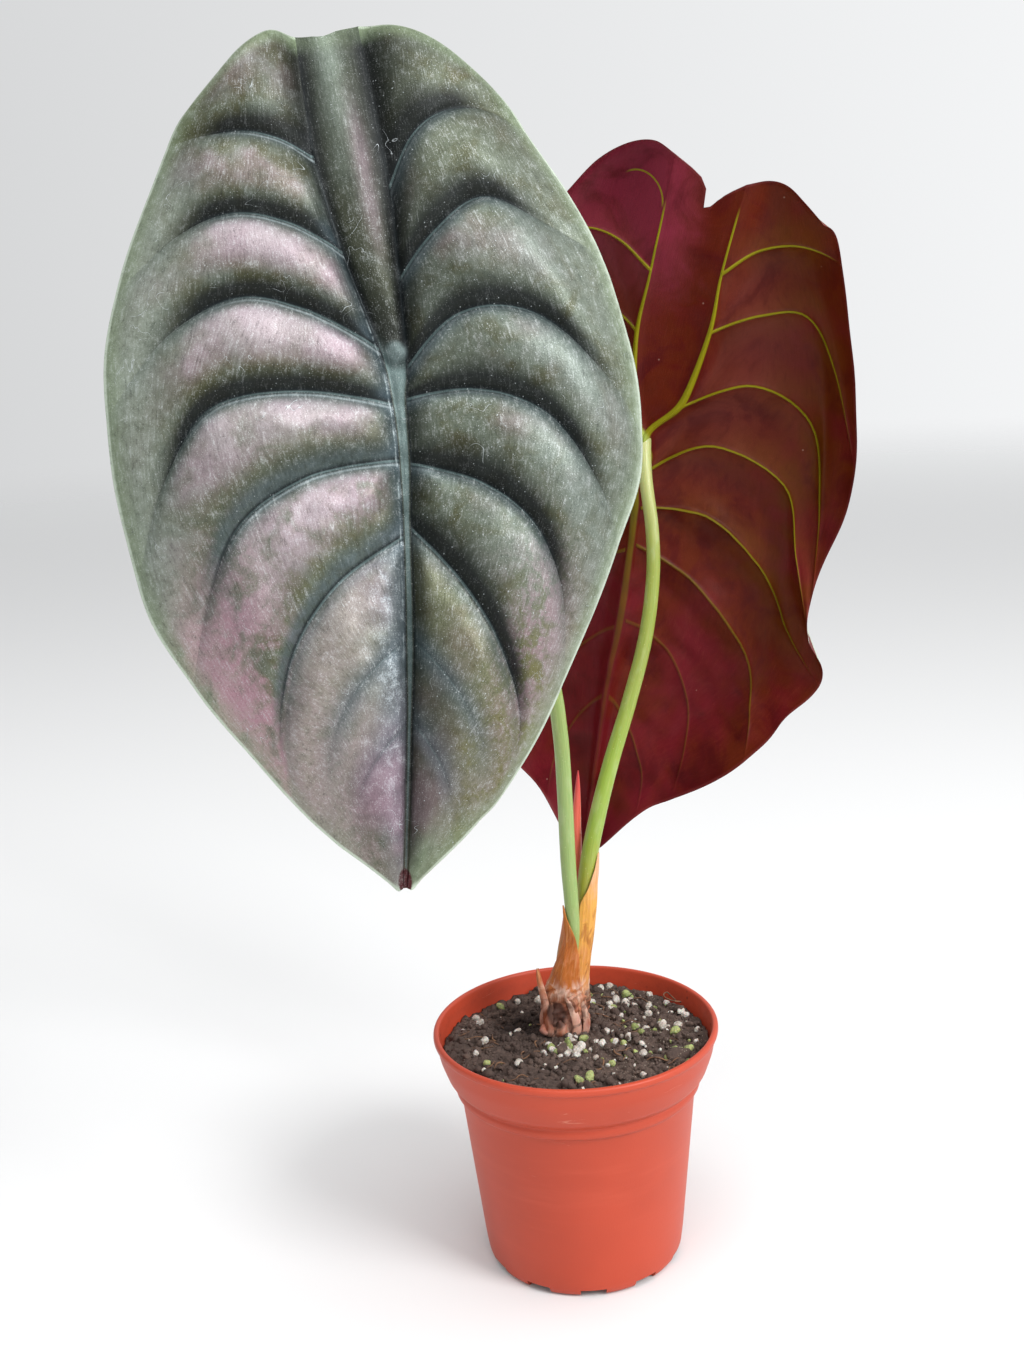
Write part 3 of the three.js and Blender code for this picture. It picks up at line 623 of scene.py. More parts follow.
def half_height(leaf, leaf_rows):
    """Arch, curl and waves from rib to margin, flatter in the lobes and at the tip, and the pillows.

    In the lobes the arch starts level at the rib: there it is less by exp(-(t / 0.16) squared).
    """
    p, t = down_leaf[:, None], from_rib[None, :]
    arched = leaf["arch"] * np.sin(np.pi * t**0.9) * (1 - in_lobes(p) * bell(t, 0.16)) - leaf["curl"] * t**4
    waved = leaf["wave"] * t**3 * np.sin(2.6 * p + 1)
    lobes = 0.5 + 0.5 * eased(0, 2, p)
    tip = (1 - 0.6 * eased(6.5, 8.9, p)) * (1 - eased(8.6, 8.95, p))
    return (arched + waved) * lobes * tip + pillows(leaf_rows, leaf["ease"])


def cord(distance, half_width, height):
    """A round ridge: height * exp(-1.2 (distance / half_width) squared), eased to zero from 0.8 to 2.2 half
    widths.
    """
    x = np.abs(distance) / half_width
    return height * np.exp(-1.2 * x**2) * (1 - eased(0.8, 2.2, x))


def whole(left, middle, right):
    """Values from the left margin over the strip to the right margin. The strip's two edges are the ribs."""
    return np.concatenate([left[:, ::-1], middle[:, 1:-1], right], axis=1)


def leaf_axes(leaf):
    """The blade's directions down, sideways and out of its face: tilted, turned about +Z, then rolled."""
    tilt, yaw, roll = np.radians([leaf["tilt"], leaf["yaw"], leaf["roll"]])
    turn = np.array([[np.cos(yaw), -np.sin(yaw), 0], [np.sin(yaw), np.cos(yaw), 0], [0, 0, 1]])
    down = turn @ [0, leaf["faces"] * np.sin(tilt), -np.cos(tilt)]
    sideways = turn @ [-leaf["faces"], 0, 0.0]
    rolled_down = np.cos(roll) * down + np.sin(roll) * sideways
    rolled_sideways = np.cos(roll) * sideways - np.sin(roll) * down
    return np.stack([rolled_down, rolled_sideways, np.cross(down, sideways)])


def faces_of(leaf, seed):
    """Both faces of a blade as grids of points in place, and the vectors that its finishes read."""
    left, right = [flat_half(leaf[side], leaf["pinch"]) for side in ["left", "right"]]
    middle = flat_middle(leaf, left, right)
    p = down_leaf[:, None]
    middle_height = leaf["strip"] * (1 - eased(2, 3, p)) * np.sin(np.pi * over_middle) ** (1 + in_lobes(p))
    flat = whole(left, middle, right)
    near = [measured(left, from_rib, 1), measured(middle, over_middle, -1), measured(right, from_rib, 1)]
    near = whole(*near)
    height = whole(half_height(leaf, leaf["left"]), middle_height, half_height(leaf, leaf["right"]))
    across = whole(-from_rib[None], over_middle[None], 1 + from_rib[None]) + 0 * p
    share = np.maximum(0, np.maximum(-across, across - 1))
    vein, rib, margin = np.moveaxis(near, -1, 0)
    wobble = 0.3 * share**8 * rolling(flat, 34, seed + 3) * eased(0.3, 1, p) * (1 - eased(8, 8.8, p))
    wobble -= leaf["nick"] * bell(p - NICK_ROW, 0.2) * share**8 * (across < 0)
    flat = flat + wobble[..., None] * np.stack([0 * share, np.sign(across)], -1)
    u, v = flat[..., 0], flat[..., 1]

    crumpled = 0.1 + eased(3.5, 5, p) * (0.14 + 0.1 * (across < 0))
    swell = 0.35 * rolling(flat, 26, seed) + crumpled * rolling(flat, 9, seed + 1)
    ripple = 0.3 * share**6 * rolling(flat, 11, seed + 2)
    height = height + (swell + ripple) * eased(0, 12, margin) ** 0.3 - (u - 20) ** 2 / (2 * BEND_RADIUS)
    from_stalk = np.hypot(u, v - 1)
    on_half = (share > 0) * (p < LAST_ROW - 0.4)
    creased = on_half * (1 - eased(0.75, 1, share)) * eased(0.3, 0.8, p) * (1 - 0.94 * eased(6.2, 6.5, p))
    dips = creased * (0.32 * bell(vein, 0.45) - 0.5 * bell(vein, 1.4))
    ribs_above = (0.35 * bell(rib, 0.5) - 0.45 * bell(rib, 1.5)) * eased(0.2, 1.6, p) * (1 - eased(8, 9, p))
    upper = height + dips + ribs_above + 1.0 * bell(from_stalk, 2.6) - 0.5 * bell(from_stalk - 4, 1.2)

    vein_width = between(0.75, 0.3, share)
    shown = on_half * eased(0.2, 0.6, p) * (1 - eased(0.85, 1, share)) * (1 - 0.5 * eased(5.5, 6.5, p))
    veins = shown * cord(vein, vein_width, vein_width)
    rib_width = between(0.1, 1.5, np.clip(p / LOWEST_RIB_ROW, 0, 1) ** 1.2) * (1 - eased(3.6, 4.1, p))
    ribs = cord(rib, rib_width + 0.2, 1.2 * rib_width)
    keel = between(2.2, 0.3, p / LAST_ROW) * eased(3.3, 3.9, p)
    keel = keel * np.sin(np.pi * np.clip(across, 0, 1)) ** 0.7
    below = np.maximum(np.maximum(veins, ribs), keel) + 2 * bell(from_stalk, 3.8)
    thickness = between(BLADE_THICKNESS, MARGIN_THICKNESS, 1 - eased(0, 8, margin))

    carried = {
        "blade": np.stack([across, p + 0 * across, 0 * across], -1),
        "flat": np.stack([u, v, from_stalk], -1),
        "near": near,
    }
    lifts = [upper + thickness / 2, height - thickness / 2 - below]
    placed = [np.stack([u, v, lift], -1) @ leaf_axes(leaf) + leaf["stalk_at"] for lift in lifts]
    return placed[0], placed[1], carried


def build_blade(name, leaf, finishes, seed):
    """Closes the two faces of a blade and gives each side its own finish."""
    upper, lower, carried = faces_of(leaf, seed)
    points, faces, side, edge = sheet_solid(upper, lower, 0.12)
    for label, grid in carried.items():
        values = grid.reshape(-1, 3)
        carried[label] = np.concatenate([values, values, values[edge]])
    return new_piece(name, points, faces, finishes, side, carried)


# %% [markdown]
# The upper face is what gives the plant its name among collectors: a metallic skin, grey-green on one side
# of the midrib and rose on the other, that turns almost black where the pillows dive into the veins. Metal
# alone would need the right surroundings to show that, so the dark flanks are partly painted shade here: it
# deepens over the lower part of each pillow, and a blue-grey band lies along every rib. The crowns carry
# painted highlights. Near the tip the quilting dies out, and a painted silvery sheen runs along the midrib
# instead. A fine cross-grain, pale dust and a few lint fibres keep the skin from looking like plastic. Both
# sides of a blade start from the same few numbers.

# %% The numbers that a blade's skins are drawn from
SEED_SHIFT = 300.0


def blade_numbers(paint, seed):
    """What the mesh of a blade carries, and what follows from it.

    flat is the place on the drawn leaf for noise, shifted by the seed so that no two skins are alike. share
    runs from 0 at a rib to 1 at the margin. inside is 1 in the strip between the ribs, and on_half beside it.
    """
    s = SimpleNamespace()
    s.across, s.row, _ = paint.parts(paint.carried("blade"))
    s.down, s.side, s.from_stalk = paint.parts(paint.carried("flat"))
    s.vein, to_rib, s.margin = paint.parts(paint.carried("near"))
    s.rib = to_rib.size()
    s.flat = paint.vector(s.down + seed * SEED_SHIFT, s.side)
    s.share = (s.across * -1.0).larger(s.across - 1.0).larger(0.0)
    s.on_half = s.share.above(0.0005)
    s.inside = 1 - s.on_half
    return s


# %% [markdown]
# The crowns of the pillows come first. The names of the masks say where they lie: rosy is 1 on the pinker
# half and other on the greener one. Most masks are products of bands: over the rows of side veins, 0 at the
# top edge and 9 at the tip, from rib to margin, and in the pillow from vein to vein.

# %% The crowns of the pillows
BLUE_BLACK = (0.055, 0.07, 0.08)
BLUE_GREY = (0.29, 0.35, 0.38)
TEAL_LINE = (0.36, 0.43, 0.43)
SILVER_GLINT = (0.64, 0.69, 0.7)
ROSE = (0.53, 0.45, 0.49)
CREAM_HIGHLIGHT = (0.6, 0.56, 0.575)
DEEP_TEAL = (0.3, 0.355, 0.375)
OLIVE = (0.28, 0.285, 0.185)
GREY_GREEN = (0.36, 0.39, 0.34)
SOFT_GREEN_HIGHLIGHT = (0.44, 0.475, 0.45)
OUTER_GREEN = (0.57, 0.605, 0.56)
LEAF_OLIVE = (0.42, 0.41, 0.24)
DUSKY_ROSE = (0.7, 0.6, 0.62)
WARM_ROSE = (0.62, 0.46, 0.51)
MARGIN_GREEN = (0.5, 0.565, 0.44)
RIM_HIGHLIGHT = (0.78, 0.83, 0.76)
PLUM = (0.56, 0.43, 0.49)
TIP_RED = (0.27, 0.09, 0.1)


def lay_crowns(paint, s):
    """Olive, grey-green and rose, cream and pale green painted highlights, and partly painted light near the
    margin.
    """
    leafy = ((s.patches - 0.5) * 4.0 + 0.4 + s.other * 0.3).step()
    paint.start(leafy, OLIVE, GREY_GREEN)
    crown = s.in_pillow.step(0.02, 0.22) * s.in_pillow.step(0.8, 0.34) * (1 - s.to_tip)
    crown = crown.larger(s.to_tip * 0.75) * s.share.step(0.0, 0.16) * s.share.step(1.0, 0.6)
    pale = crown * (s.rosy + s.other * 0.45) * (s.row.step(0.2, 1.8) * 0.6 + 0.4)
    pink = ((s.clouds - 0.5) * 4.5 + 0.15 + s.rosy * 0.4 + s.down * 0.003).step()
    paint.lay(pale * pink, ROSE)
    # glow: a cream painted highlight on the crowns of the rosy half.
    glow = pale * s.rosy * (s.share - 0.36).bell(0.3) * s.row.step(1.0, 2.2) * s.row.step(6.1, 5.6)
    paint.lay(glow * (0.25 + s.patches), CREAM_HIGHLIGHT)
    # A pale green painted highlight on the outer crowns of the greener half.
    outer_highlight = crown * s.other * (s.share - 0.62).bell(0.26) * s.row.step(1.0, 3.0) * (1 - s.to_tip)
    paint.lay(outer_highlight * (0.35 + s.patches) * 0.9, SOFT_GREEN_HIGHLIGHT)
    # Lighter towards the margin, partly as painted light.
    outer_light = s.share.step(0.55, 0.9) * s.row.step(0.8, 1.8) * s.row.step(5.2, 4.4)
    outer_light = outer_light * (s.rosy + s.other * 0.35)
    paint.lay(outer_light * (0.3 + s.mottle) * 0.85, OUTER_GREEN)
    edge_rose = s.share.step(0.55, 0.95) * s.row.step(4.3, 5.2) * s.row.step(7.8, 7.0)
    edge_rose = edge_rose * (s.rosy + s.other * 0.4)
    paint.lay(edge_rose * (0.35 + s.clouds), DUSKY_ROSE)
    warm = ((s.patches + s.mottle - 1.0) * 3.0 + 0.45).step() * s.row.step(4.4, 5.6) * s.row.step(9.0, 8.0)
    warm_other = s.other * (s.share - 0.66).bell(0.18) * s.row.step(7.0, 6.0) * 0.7
    warm = warm * (s.rosy * s.share.step(0.3, 0.8) + warm_other)
    paint.lay(warm * 0.75, WARM_ROSE)
    mossy = ((1.0 - s.patches - s.mottle) * 3.0 + 0.35).step() * s.row.step(4.6, 5.8) * s.row.step(8.6, 7.4)
    mossy = mossy * (s.other * s.share.step(0.35, 0.75) + s.rosy * 0.3)
    paint.lay(mossy * 0.8, LEAF_OLIVE)


# %% [markdown]
# Lower down the rosy half fades to green before it ends, and both halves turn dull olive towards the tip. The
# strip above the stalk is dark, with painted shade at its edges, a lighter green in the middle and a pink
# painted highlight beside it.

# %% The tip and the strip between the ribs
def lay_tip_and_strip(paint, s):
    """Duller tones near the tip, and the strip between the ribs above the stalk."""
    faded = ((0.52 - s.patches) * 5.0).step() * s.rosy * s.row.step(3.8, 5.0) * s.row.step(6.4, 6.0)
    paint.lay(faded * 0.75, GREY_GREEN)
    paint.lay(s.other * s.row.step(2.2, 1.2) * 0.3, OLIVE)
    tip_grey = s.to_tip * s.rosy * s.share.step(0.0, 0.3) * s.row.step(8.6, 7.6)
    paint.lay(tip_grey * (0.3 + s.patches) * 0.8, (0.54, 0.525, 0.49))
    tip_olive = s.to_tip * s.other * s.row.step(8.8, 7.8) * (0.1 + s.patches)
    paint.lay(tip_olive * 0.55, LEAF_OLIVE)

    above_stalk = s.inside * s.row.step(3.2, 2.6)
    paint.lay(above_stalk * 0.85, (0.2, 0.215, 0.175))
    centre_light = (s.across - 0.4).bell(0.25) * s.row.step(1.6, 0.1)
    paint.lay(above_stalk * centre_light * (0.35 + s.patches), (0.42, 0.46, 0.42))
    # A pink painted highlight on one side of the strip.
    pink_highlight = (s.across - 0.68).bell(0.15) * s.row.step(0.3, 0.8) * s.row.step(2.2, 1.2) * (0.1 + s.clouds)
    paint.lay(above_stalk * pink_highlight * 0.7, (0.45, 0.38, 0.42))
    # Painted shade along both edges of the strip.
    strip_edge_shade = above_stalk * ((s.across - 0.5).size() * 2.0).step(0.5, 1.0)
    paint.lay(strip_edge_shade * 0.85, BLUE_BLACK)
    paint.lay(s.inside * s.row.step(2.0, 2.8) * s.row.step(3.3, 3.1) * 0.7, BLUE_BLACK)


# %% [markdown]
# Where a pillow dives into its vein it turns its back to the light. That flank is darkened partly in its own
# colour and partly with painted shade: nearly black on the upper pillows, and a bluish grey lower down on the
# rosy half. Painted shade also lies along the midrib of the greener half.

# %% The dark flanks
def lay_flank_shade(paint, s):
    """Painted shade, partly the leaf's own dark: from a reach of the way from vein to vein, and along the
    midrib of the greener half.
    """
    outward = 1 - s.share.step(0.56, 0.9)
    quilted = (1 - s.to_tip) * s.on_half * s.row.step(0.1, 0.7)
    beside_rib = s.rosy * s.share.step(0.5, 0.08) * 0.14 + s.other * s.share.step(0.6, 0.2) * 0.24
    reach = 0.67 - beside_rib - s.other * s.row.step(2.6, 1.2) * 0.08
    reach = reach + s.rosy * s.row.step(4.6, 5.1) * 0.12
    flank = ((s.in_pillow - reach) / (0.93 - reach)).step() * outward * quilted
    lobe_top = s.row.step(1.3, 0.1) * s.share.step(0.8, 0.1) * s.on_half * (0.4 + s.other * 0.35)
    ridge = s.share.step(0.42, 0.04) * s.other * s.row.step(4.6, 2.0) * 0.8
    rib_reach = 5.0 + s.row.step(6.2, 7.4) * 7.5
    ridge = ridge.larger((s.rib / rib_reach).bell(1.0) * s.other * (0.85 - s.to_tip * 0.15))
    # The flanks, the midrib of the greener half and the lobe tops: painted shade, partly the leaf's own dark.
    shade = (flank * 1.12).larger(ridge).larger(lobe_top).smaller(1.0)
    bluish = s.rosy * s.row.step(4.5, 5.1)
    flank_tone = paint.mix(bluish * (0.4 + s.grain), BLUE_BLACK, DEEP_TEAL)
    paint.lay(shade * (1 - (1 - s.mottle) * (0.16 + bluish * 0.5)), flank_tone)
    return shade


# %% [markdown]
# Veins and ribs have blue-grey bands beside them. Along the lower midrib a painted sheen makes the rosy half
# shine silver.

# %% Bands and sheen
def lay_bands(paint, s):
    """Bells over the distance from the vein and the rib, and wine-red shades near the tip."""
    beside = s.vein.bell(3.2) * (1 - s.share.step(0.5, 0.9) * 0.8) * s.on_half
    paint.lay(beside * 0.62 * (s.in_pillow.step(0.6, 0.1) * (1 - s.to_tip * 0.7)).larger(s.to_tip), BLUE_GREY)
    band = s.rib.bell(4.4) * s.rosy * s.row.step(0.8, 2.2)
    paint.lay(band * 0.75, BLUE_GREY)
    # A painted sheen along the lower midrib of the rosy half, in two layers.
    sheen = (s.rib - 4.0).bell(6.5) * s.rosy * s.row.step(5.5, 6.6) * s.row.step(8.9, 8.0)
    paint.lay(sheen * 0.6, (0.42, 0.46, 0.49))
    sheen = sheen * ((s.fine + s.mottle * 1.4 + s.patches - 1.7) * 3.0).step()
    paint.lay(sheen * 0.75, (0.68, 0.72, 0.74))
    plum = s.row.step(7.2, 8.8) * ((s.clouds - 0.5) * 2.0 + 0.6).step()
    paint.lay(plum * (0.25 + s.rosy * 0.6), PLUM)


# %% [markdown]
# The lines themselves are less than a millimetre wide: a dark crease over each vein, partly painted shade, with
# a teal line in it, and on the rosy half a silver lip that is a painted highlight. They stay crisp because they
# are drawn from true distances.

# %% Lines on veins and ribs
def lay_lines(paint, s):
    """Steps and narrow bells over the distances in millimetres."""
    # Painted shade in the creases along the ribs above the stalk.
    groove = (s.rib / (s.row.step(1.8, 0.5) * 3.0 + 1.4)).bell(1.0) * s.row.step(3.6, 3.0)
    paint.lay(groove * (s.on_half * 0.85 + s.inside * 0.65), BLUE_BLACK)
    width = 0.5 - s.share * 0.25
    vein_fade = (1 - s.share.step(0.5, 0.9)) * s.on_half * (1 - s.row.step(6.4, 6.6) * 0.7) * s.row.above(0.5)
    line_fade = s.share.step(0.7, 0.25) * vein_fade
    over_vein = s.in_pillow.step(0.3, 0.6)
    # The dark crease over a vein is partly painted shade, darker on the side of the flank above it.
    dark_line = (s.vein / width).step(3.0, 0.9) * vein_fade * (0.45 + over_vein * 0.45)
    paint.lay(dark_line, (0.08, 0.105, 0.115))
    paint.lay((s.vein / width).step(0.9, 0.4) * line_fade * 0.65, TEAL_LINE)
    # lip: a painted highlight along the crown's side of each vein.
    lip = (s.vein - 0.95).bell(0.32) * (1 - over_vein) * line_fade * (0.15 + s.rosy * 0.7)
    paint.lay(lip * (0.2 + s.grain) * s.row.step(6.1, 5.8), SILVER_GLINT)
    below_stalk = s.row.step(2.7, 3.3)
    rib_edge = (s.rib - 0.1).bell(0.42) * s.row.step(9.0, 8.2) * s.row.step(-0.2, 2.2)
    paint.lay(rib_edge * (0.8 - s.rosy * 0.25), (0.08, 0.11, 0.12))
    paint.lay(s.inside * below_stalk * s.rib.step(0.15, 0.6) * 0.85, TEAL_LINE)
    # Painted glints along the midrib of the rosy half.
    rib_gleam = (s.rib - 0.85).bell(0.22) * s.rosy * s.row.step(2.2, 3.0) * s.row.step(8.6, 6.5)
    rib_gleam = rib_gleam * ((s.mottle - 0.42) * 5.0).step()
    paint.lay(rib_gleam, SILVER_GLINT)
    paint.lay(s.from_stalk.step(3.4, 1.6) * 0.6, (0.4, 0.46, 0.46))
    return groove


# %% [markdown]
# A pale green rim follows the margin, with a painted highlight that is brightest on the greener half, and the
# very tip is dry and red.

# %% The rim
def lay_rim(paint, s, tip_at):
    """Steps over the distance from the margin, and a small oval at tip_at, in millimetres on the blade."""
    rim = s.margin.step(8.0, 0.4) * (0.3 + s.on_half * 0.55) * (1 - s.row.step(5.0, 6.5) * s.rosy * 0.5)
    paint.lay(rim * (0.4 + s.mottle * 0.6), MARGIN_GREEN)
    # Painted highlights: along the margin of the greener half, and a thin one at the very edge.
    rim_highlight = s.margin.step(3.2, 0.8) * s.other * s.row.step(0.8, 2.0) * s.row.step(5.4, 4.2)
    paint.lay(rim_highlight * (0.1 + s.mottle * 0.5), RIM_HIGHLIGHT)
    paint.lay(s.margin.step(1.1, 0.4) * s.on_half * (s.row.step(0.0, 1.5) * 0.5 + 0.35), RIM_HIGHLIGHT)
    off_tip = paint.length(paint.vector((s.down - tip_at[0]) * 0.5, s.side - tip_at[1]))
    paint.lay(off_tip.step(1.9, 1.5), TIP_RED)


# %% [markdown]
# Last come the streaks of the skin's cross-grain, fainter in the painted shade, dust, thin lint where noise
# crosses its middle value, and tiny painted glints. The same noises make the roughness and the relief.

# %% Grain, dust and the whole upper face
def lay_dust(paint, s):
    """Streaks, specks, lint and painted glints over everything, and the closing shader."""
    # lit is low in the painted shade, so the pale grain shows less there.
    lit = 1 - s.shade.larger(s.groove) * 0.8
    streaks = (s.grain - 0.5) * 1.2 + (s.fine - 0.5) * 0.9 + (s.mottle - 0.5) * 0.9
    lit = lit * (1 - s.inside * 0.35)
    paint.lay((streaks * 2.3).step() * lit * 0.44, (0.78, 0.8, 0.8))
    paint.lay((streaks * -2.3).step() * 0.52, (0.08, 0.095, 0.1))
    dust = paint.specks(s.flat, 0.9, 0.15, 0.3).larger(paint.specks(s.flat, 0.37, 0.08, 0.16))
    dust = dust * (0.55 + s.other * 0.45)
    wisps = (paint.noise(s.flat, 0.16, 1.0, 0.4, 1.2) - 0.5).size().step(0.005, 0.002)
    lint = wisps * paint.noise(s.flat, 0.075, 1.0, 0.5).step(0.635, 0.66)
    paint.lay(dust.larger(lint) * 0.6, (0.8, 0.83, 0.84))
    # Tiny painted glints, stronger outside the painted shade.
    painted_glint = paint.specks(s.flat, 2.3, 0.3, 0.4) * (lit * 0.7 + 0.15)
    paint.lay(painted_glint * 0.3, (0.9, 0.92, 0.92))

    roughness = 0.33 + s.fine * 0.14 + s.mottle * 0.08 + dust * 0.3 + s.shade * 0.08
    relief = s.grain * 0.5 + s.fine * 0.4 + s.mottle * 0.5 + lint * 0.6
    return paint.finish(roughness, relief, 0.16, Metallic=0.42, Specular_IOR_Level=0.25)


def upper_finish(name, rose_side, seed, tip_at):
    """The upper face. rose_side is -1 where the left half is the rosier one, and 1 for the right."""
    paint = Paint(name)
    s = blade_numbers(paint, seed)
    s.in_pillow = s.row.fraction()
    s.rosy = (s.across * rose_side).above(0.0 if rose_side < 0 else 0.999)
    s.other = s.on_half * (1 - s.rosy)
    s.to_tip = s.row.step(5.97, 6.1)
    s.clouds = paint.noise(s.flat, 0.045, 3.0, 0.55)
    s.patches = paint.noise(s.flat, 0.1, 4.0, 0.62, 0.5)
    s.mottle = paint.noise(s.flat, 0.36, 5.0, 0.68, 0.4)
    s.grain = paint.vector(s.across * (s.on_half * 75.0 + 30.0), s.row * 8.0 + s.patches * 5.0, seed)
    s.grain = paint.noise(s.grain, 1.0, 4.0, 0.7)
    s.fine = paint.noise(s.flat, 2.4, 3.0, 0.7)
    lay_crowns(paint, s)
    lay_tip_and_strip(paint, s)
    s.shade = lay_flank_shade(paint, s)
    lay_bands(paint, s)
    s.groove = lay_lines(paint, s)
    lay_rim(paint, s, tip_at)
    return lay_dust(paint, s)


front_upper = upper_finish("front_upper_skin", -1, 1.0, (132.6, -7.4))
back_upper = upper_finish("back_upper_skin", 1, 2.0, (147.2, 3.5))

# %% [markdown]
# The underside is burgundy, because its skin holds a red pigment that the upper skin lacks. It shifts from
# wine to orange-brown and olive along the veins, where the green below shines through, and to magenta in the
# lobes. The veins are thin and yellow-green, and die out before the margin. The margin itself is a thin line
# where both skins end, pale on the front leaf and wine-red on the back one.

# %% The burgundy underside and the pale margin
WINE = (0.31, 0.035, 0.03)
RED_BROWN = (0.335, 0.1, 0.02)
CRIMSON = (0.38, 0.055, 0.11)
MAGENTA = (0.47, 0.14, 0.22)
SHEEN_PINK = (0.46, 0.21, 0.2)
VEIN_GREEN = (0.5, 0.48, 0.06)
HOOK_AT, HOOK_RADIUS = (-71.7, 9.2), 8.3


def under_finish(name, seed):
    """The underside: wine red in clouds of brown and magenta, with raised yellow-green veins and a painted
    sheen.

    At its top the right rib bends over in a thin hook: an arc round HOOK_AT, in millimetres on the blade.
    """
    paint = Paint(name)
    s = blade_numbers(paint, seed)
    clouds = paint.noise(s.flat, 0.03, 3.0, 0.55)
    patches = paint.noise(s.flat, 0.075, 4.0, 0.6, 0.8)
    grain = paint.noise(paint.vector(s.across * 60.0, s.row * 6.0 + clouds * 3.0, seed), 1.0, 3.0, 0.6)
    fine = paint.noise(s.flat, 2.6, 3.0, 0.7)

    paint.start(patches.step(0.35, 0.62), WINE, RED_BROWN)
    olive = s.vein.bell(7.0) * s.on_half * (s.share - 0.5).bell(0.35) * s.row.step(6.3, 4.8) * (0.2 + patches)
    paint.lay(olive.smaller(1.0) * 0.8, (0.36, 0.215, 0.03))
    pink = (s.row.step(5.0, 7.5) * 0.55 + s.share.step(0.4, 0.9) * 0.15 + (clouds - 0.5) * 3.0).step(0.1, 0.8)
    paint.lay(pink * 0.8, CRIMSON)
    lobe = s.down.step(-22.0, -66.0) * s.side.step(-26.0, 4.0)
    paint.lay((lobe + (patches - 0.5) * 1.2).step(0.3, 1.1) * 0.8, MAGENTA)
    # Painted sheen: grey-pink patches beside the ribs.
    satin_sheen = (s.share - 0.22).bell(0.2) * s.on_half * s.row.step(0.5, 1.5) * s.row.step(5.5, 3.5)
    satin_sheen = satin_sheen * (patches + clouds - 0.4)
    paint.lay(satin_sheen.larger(0.0) * 0.55, SHEEN_PINK)
    # More painted sheen, near the ribs and between them.
    sheen = (patches * -1.0 + 0.62).step(0.05, 0.3) * s.share.step(0.95, 0.4) * clouds.step(0.38, 0.6)
    paint.lay(sheen * 0.2, (0.48, 0.24, 0.18))
    paint.lay((grain + fine - 1.0).step(0.0, 0.5) * 0.25, (0.5, 0.22, 0.16))
    paint.lay((0.5 - grain).step(0.0, 0.4) * 0.35, (0.19, 0.02, 0.015))
    deep = ((0.5 - patches) * 5.0 + (0.5 - clouds) * 3.0).step()
    paint.lay(deep * 0.3, (0.2, 0.03, 0.012))

    faint = s.row.step(6.6, 5.2) * 0.75 + 0.25
    width = 0.56 - s.share * 0.38
    line = (s.vein / width).step(1.2, 0.7) * s.on_half * (1 - s.share.step(0.66, 0.95))
    line = line * s.row.above(0.5) * faint
    rib_width = (s.row / 3.0).smaller(1.0) ** 2.0 * 0.95 + 0.28
    rib_line = (s.rib / rib_width).step(1.2, 0.8) * s.row.step(4.0, 3.6) * s.down.step(-74.0, -68.0)
    from_hook = paint.length(paint.vector(s.down - HOOK_AT[0], s.side - HOOK_AT[1])) - HOOK_RADIUS
    hook = from_hook.size().step(0.34, 0.18) * s.down.step(HOOK_AT[0] + 1.2, HOOK_AT[0] - 0.8)
    rib_line = rib_line.larger(hook * s.side.step(14.0, 11.0) * 0.8)
    middle = s.inside * s.row.step(3.5, 3.9) * s.rib.step(0.3, 1.0) * s.row.step(9.5, 4.0)
    dull = s.row.step(3.0, 6.0)
    green = paint.mix(dull * 0.6, VEIN_GREEN, (0.3, 0.2, 0.04))
    paint.lay(line * 0.9, green)
    paint.lay(rib_line.larger(middle * 0.85), green)
    paint.lay(s.from_stalk.step(4.0, 2.4) * 0.9, (0.6, 0.66, 0.3))
    paint.lay(s.margin.step(1.0, 0.3) * 0.4, (0.45, 0.2, 0.2))
    dust = paint.specks(s.flat, 0.16, 0.06, 0.3)
    paint.lay(dust * 0.4, (0.66, 0.52, 0.46))

    roughness = 0.42 + (fine - 0.5) * 0.15 + (patches - 0.5) * 0.12
    relief = grain * 0.5 + fine * 0.5
    return paint.finish(roughness, relief, 0.1, Specular_IOR_Level=0.1)


def margin_finish(name, seen):
    """The narrow edge of the blade: one tone, a little mottled along its length."""
    paint = Paint(name)
    mottle = paint.noise(paint.place(), 260.0, 3.0, 0.6)
    paint.start(mottle.step(0.3, 0.7), seen, tuple(0.85 * part for part in seen))
    return paint.finish(0.45, mottle, 0.05)


front_under = under_finish("front_under_skin", 3.0)
back_under = under_finish("back_under_skin", 4.0)
pale_margin = margin_finish("pale_margin", (0.8, 0.85, 0.76))
wine_margin = margin_finish("wine_margin", (0.36, 0.1, 0.13))

# %% [markdown]
# Each blade is closed from its two faces. The narrow edge between them gets the margin's own finish, so the
# line where the skins end needs no mask.

# %% Build both blades
blade_front = build_blade(
    "blade_front", FRONT_LEAF, [front_upper, front_under, pale_margin], 5
)
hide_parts("leaf_front")
blade_back = build_blade(
    "blade_back", BACK_LEAF, [back_upper, back_under, wine_margin], 9
)
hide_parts("leaf_back")


# %% [markdown]
# ## The stalks and the young leaf
# A leaf stalk of this plant is a smooth round shoot, a little swollen where it enters the blade, with fine
# lengthwise strands under its skin. It could be a Bevel on a curve object, but rings of points round a
# smooth line let the ends be shaped as well: the head of each stalk is pressed into the blade that it
# carries, and widens there into the knob that the ribs start from. Each point carries its place round and
# along the stalk.

# %% Round shoots along a smooth line
STEM_TOP = 82.7
CLEARANCE = 0.3
UNDER_BLADE = 0.9


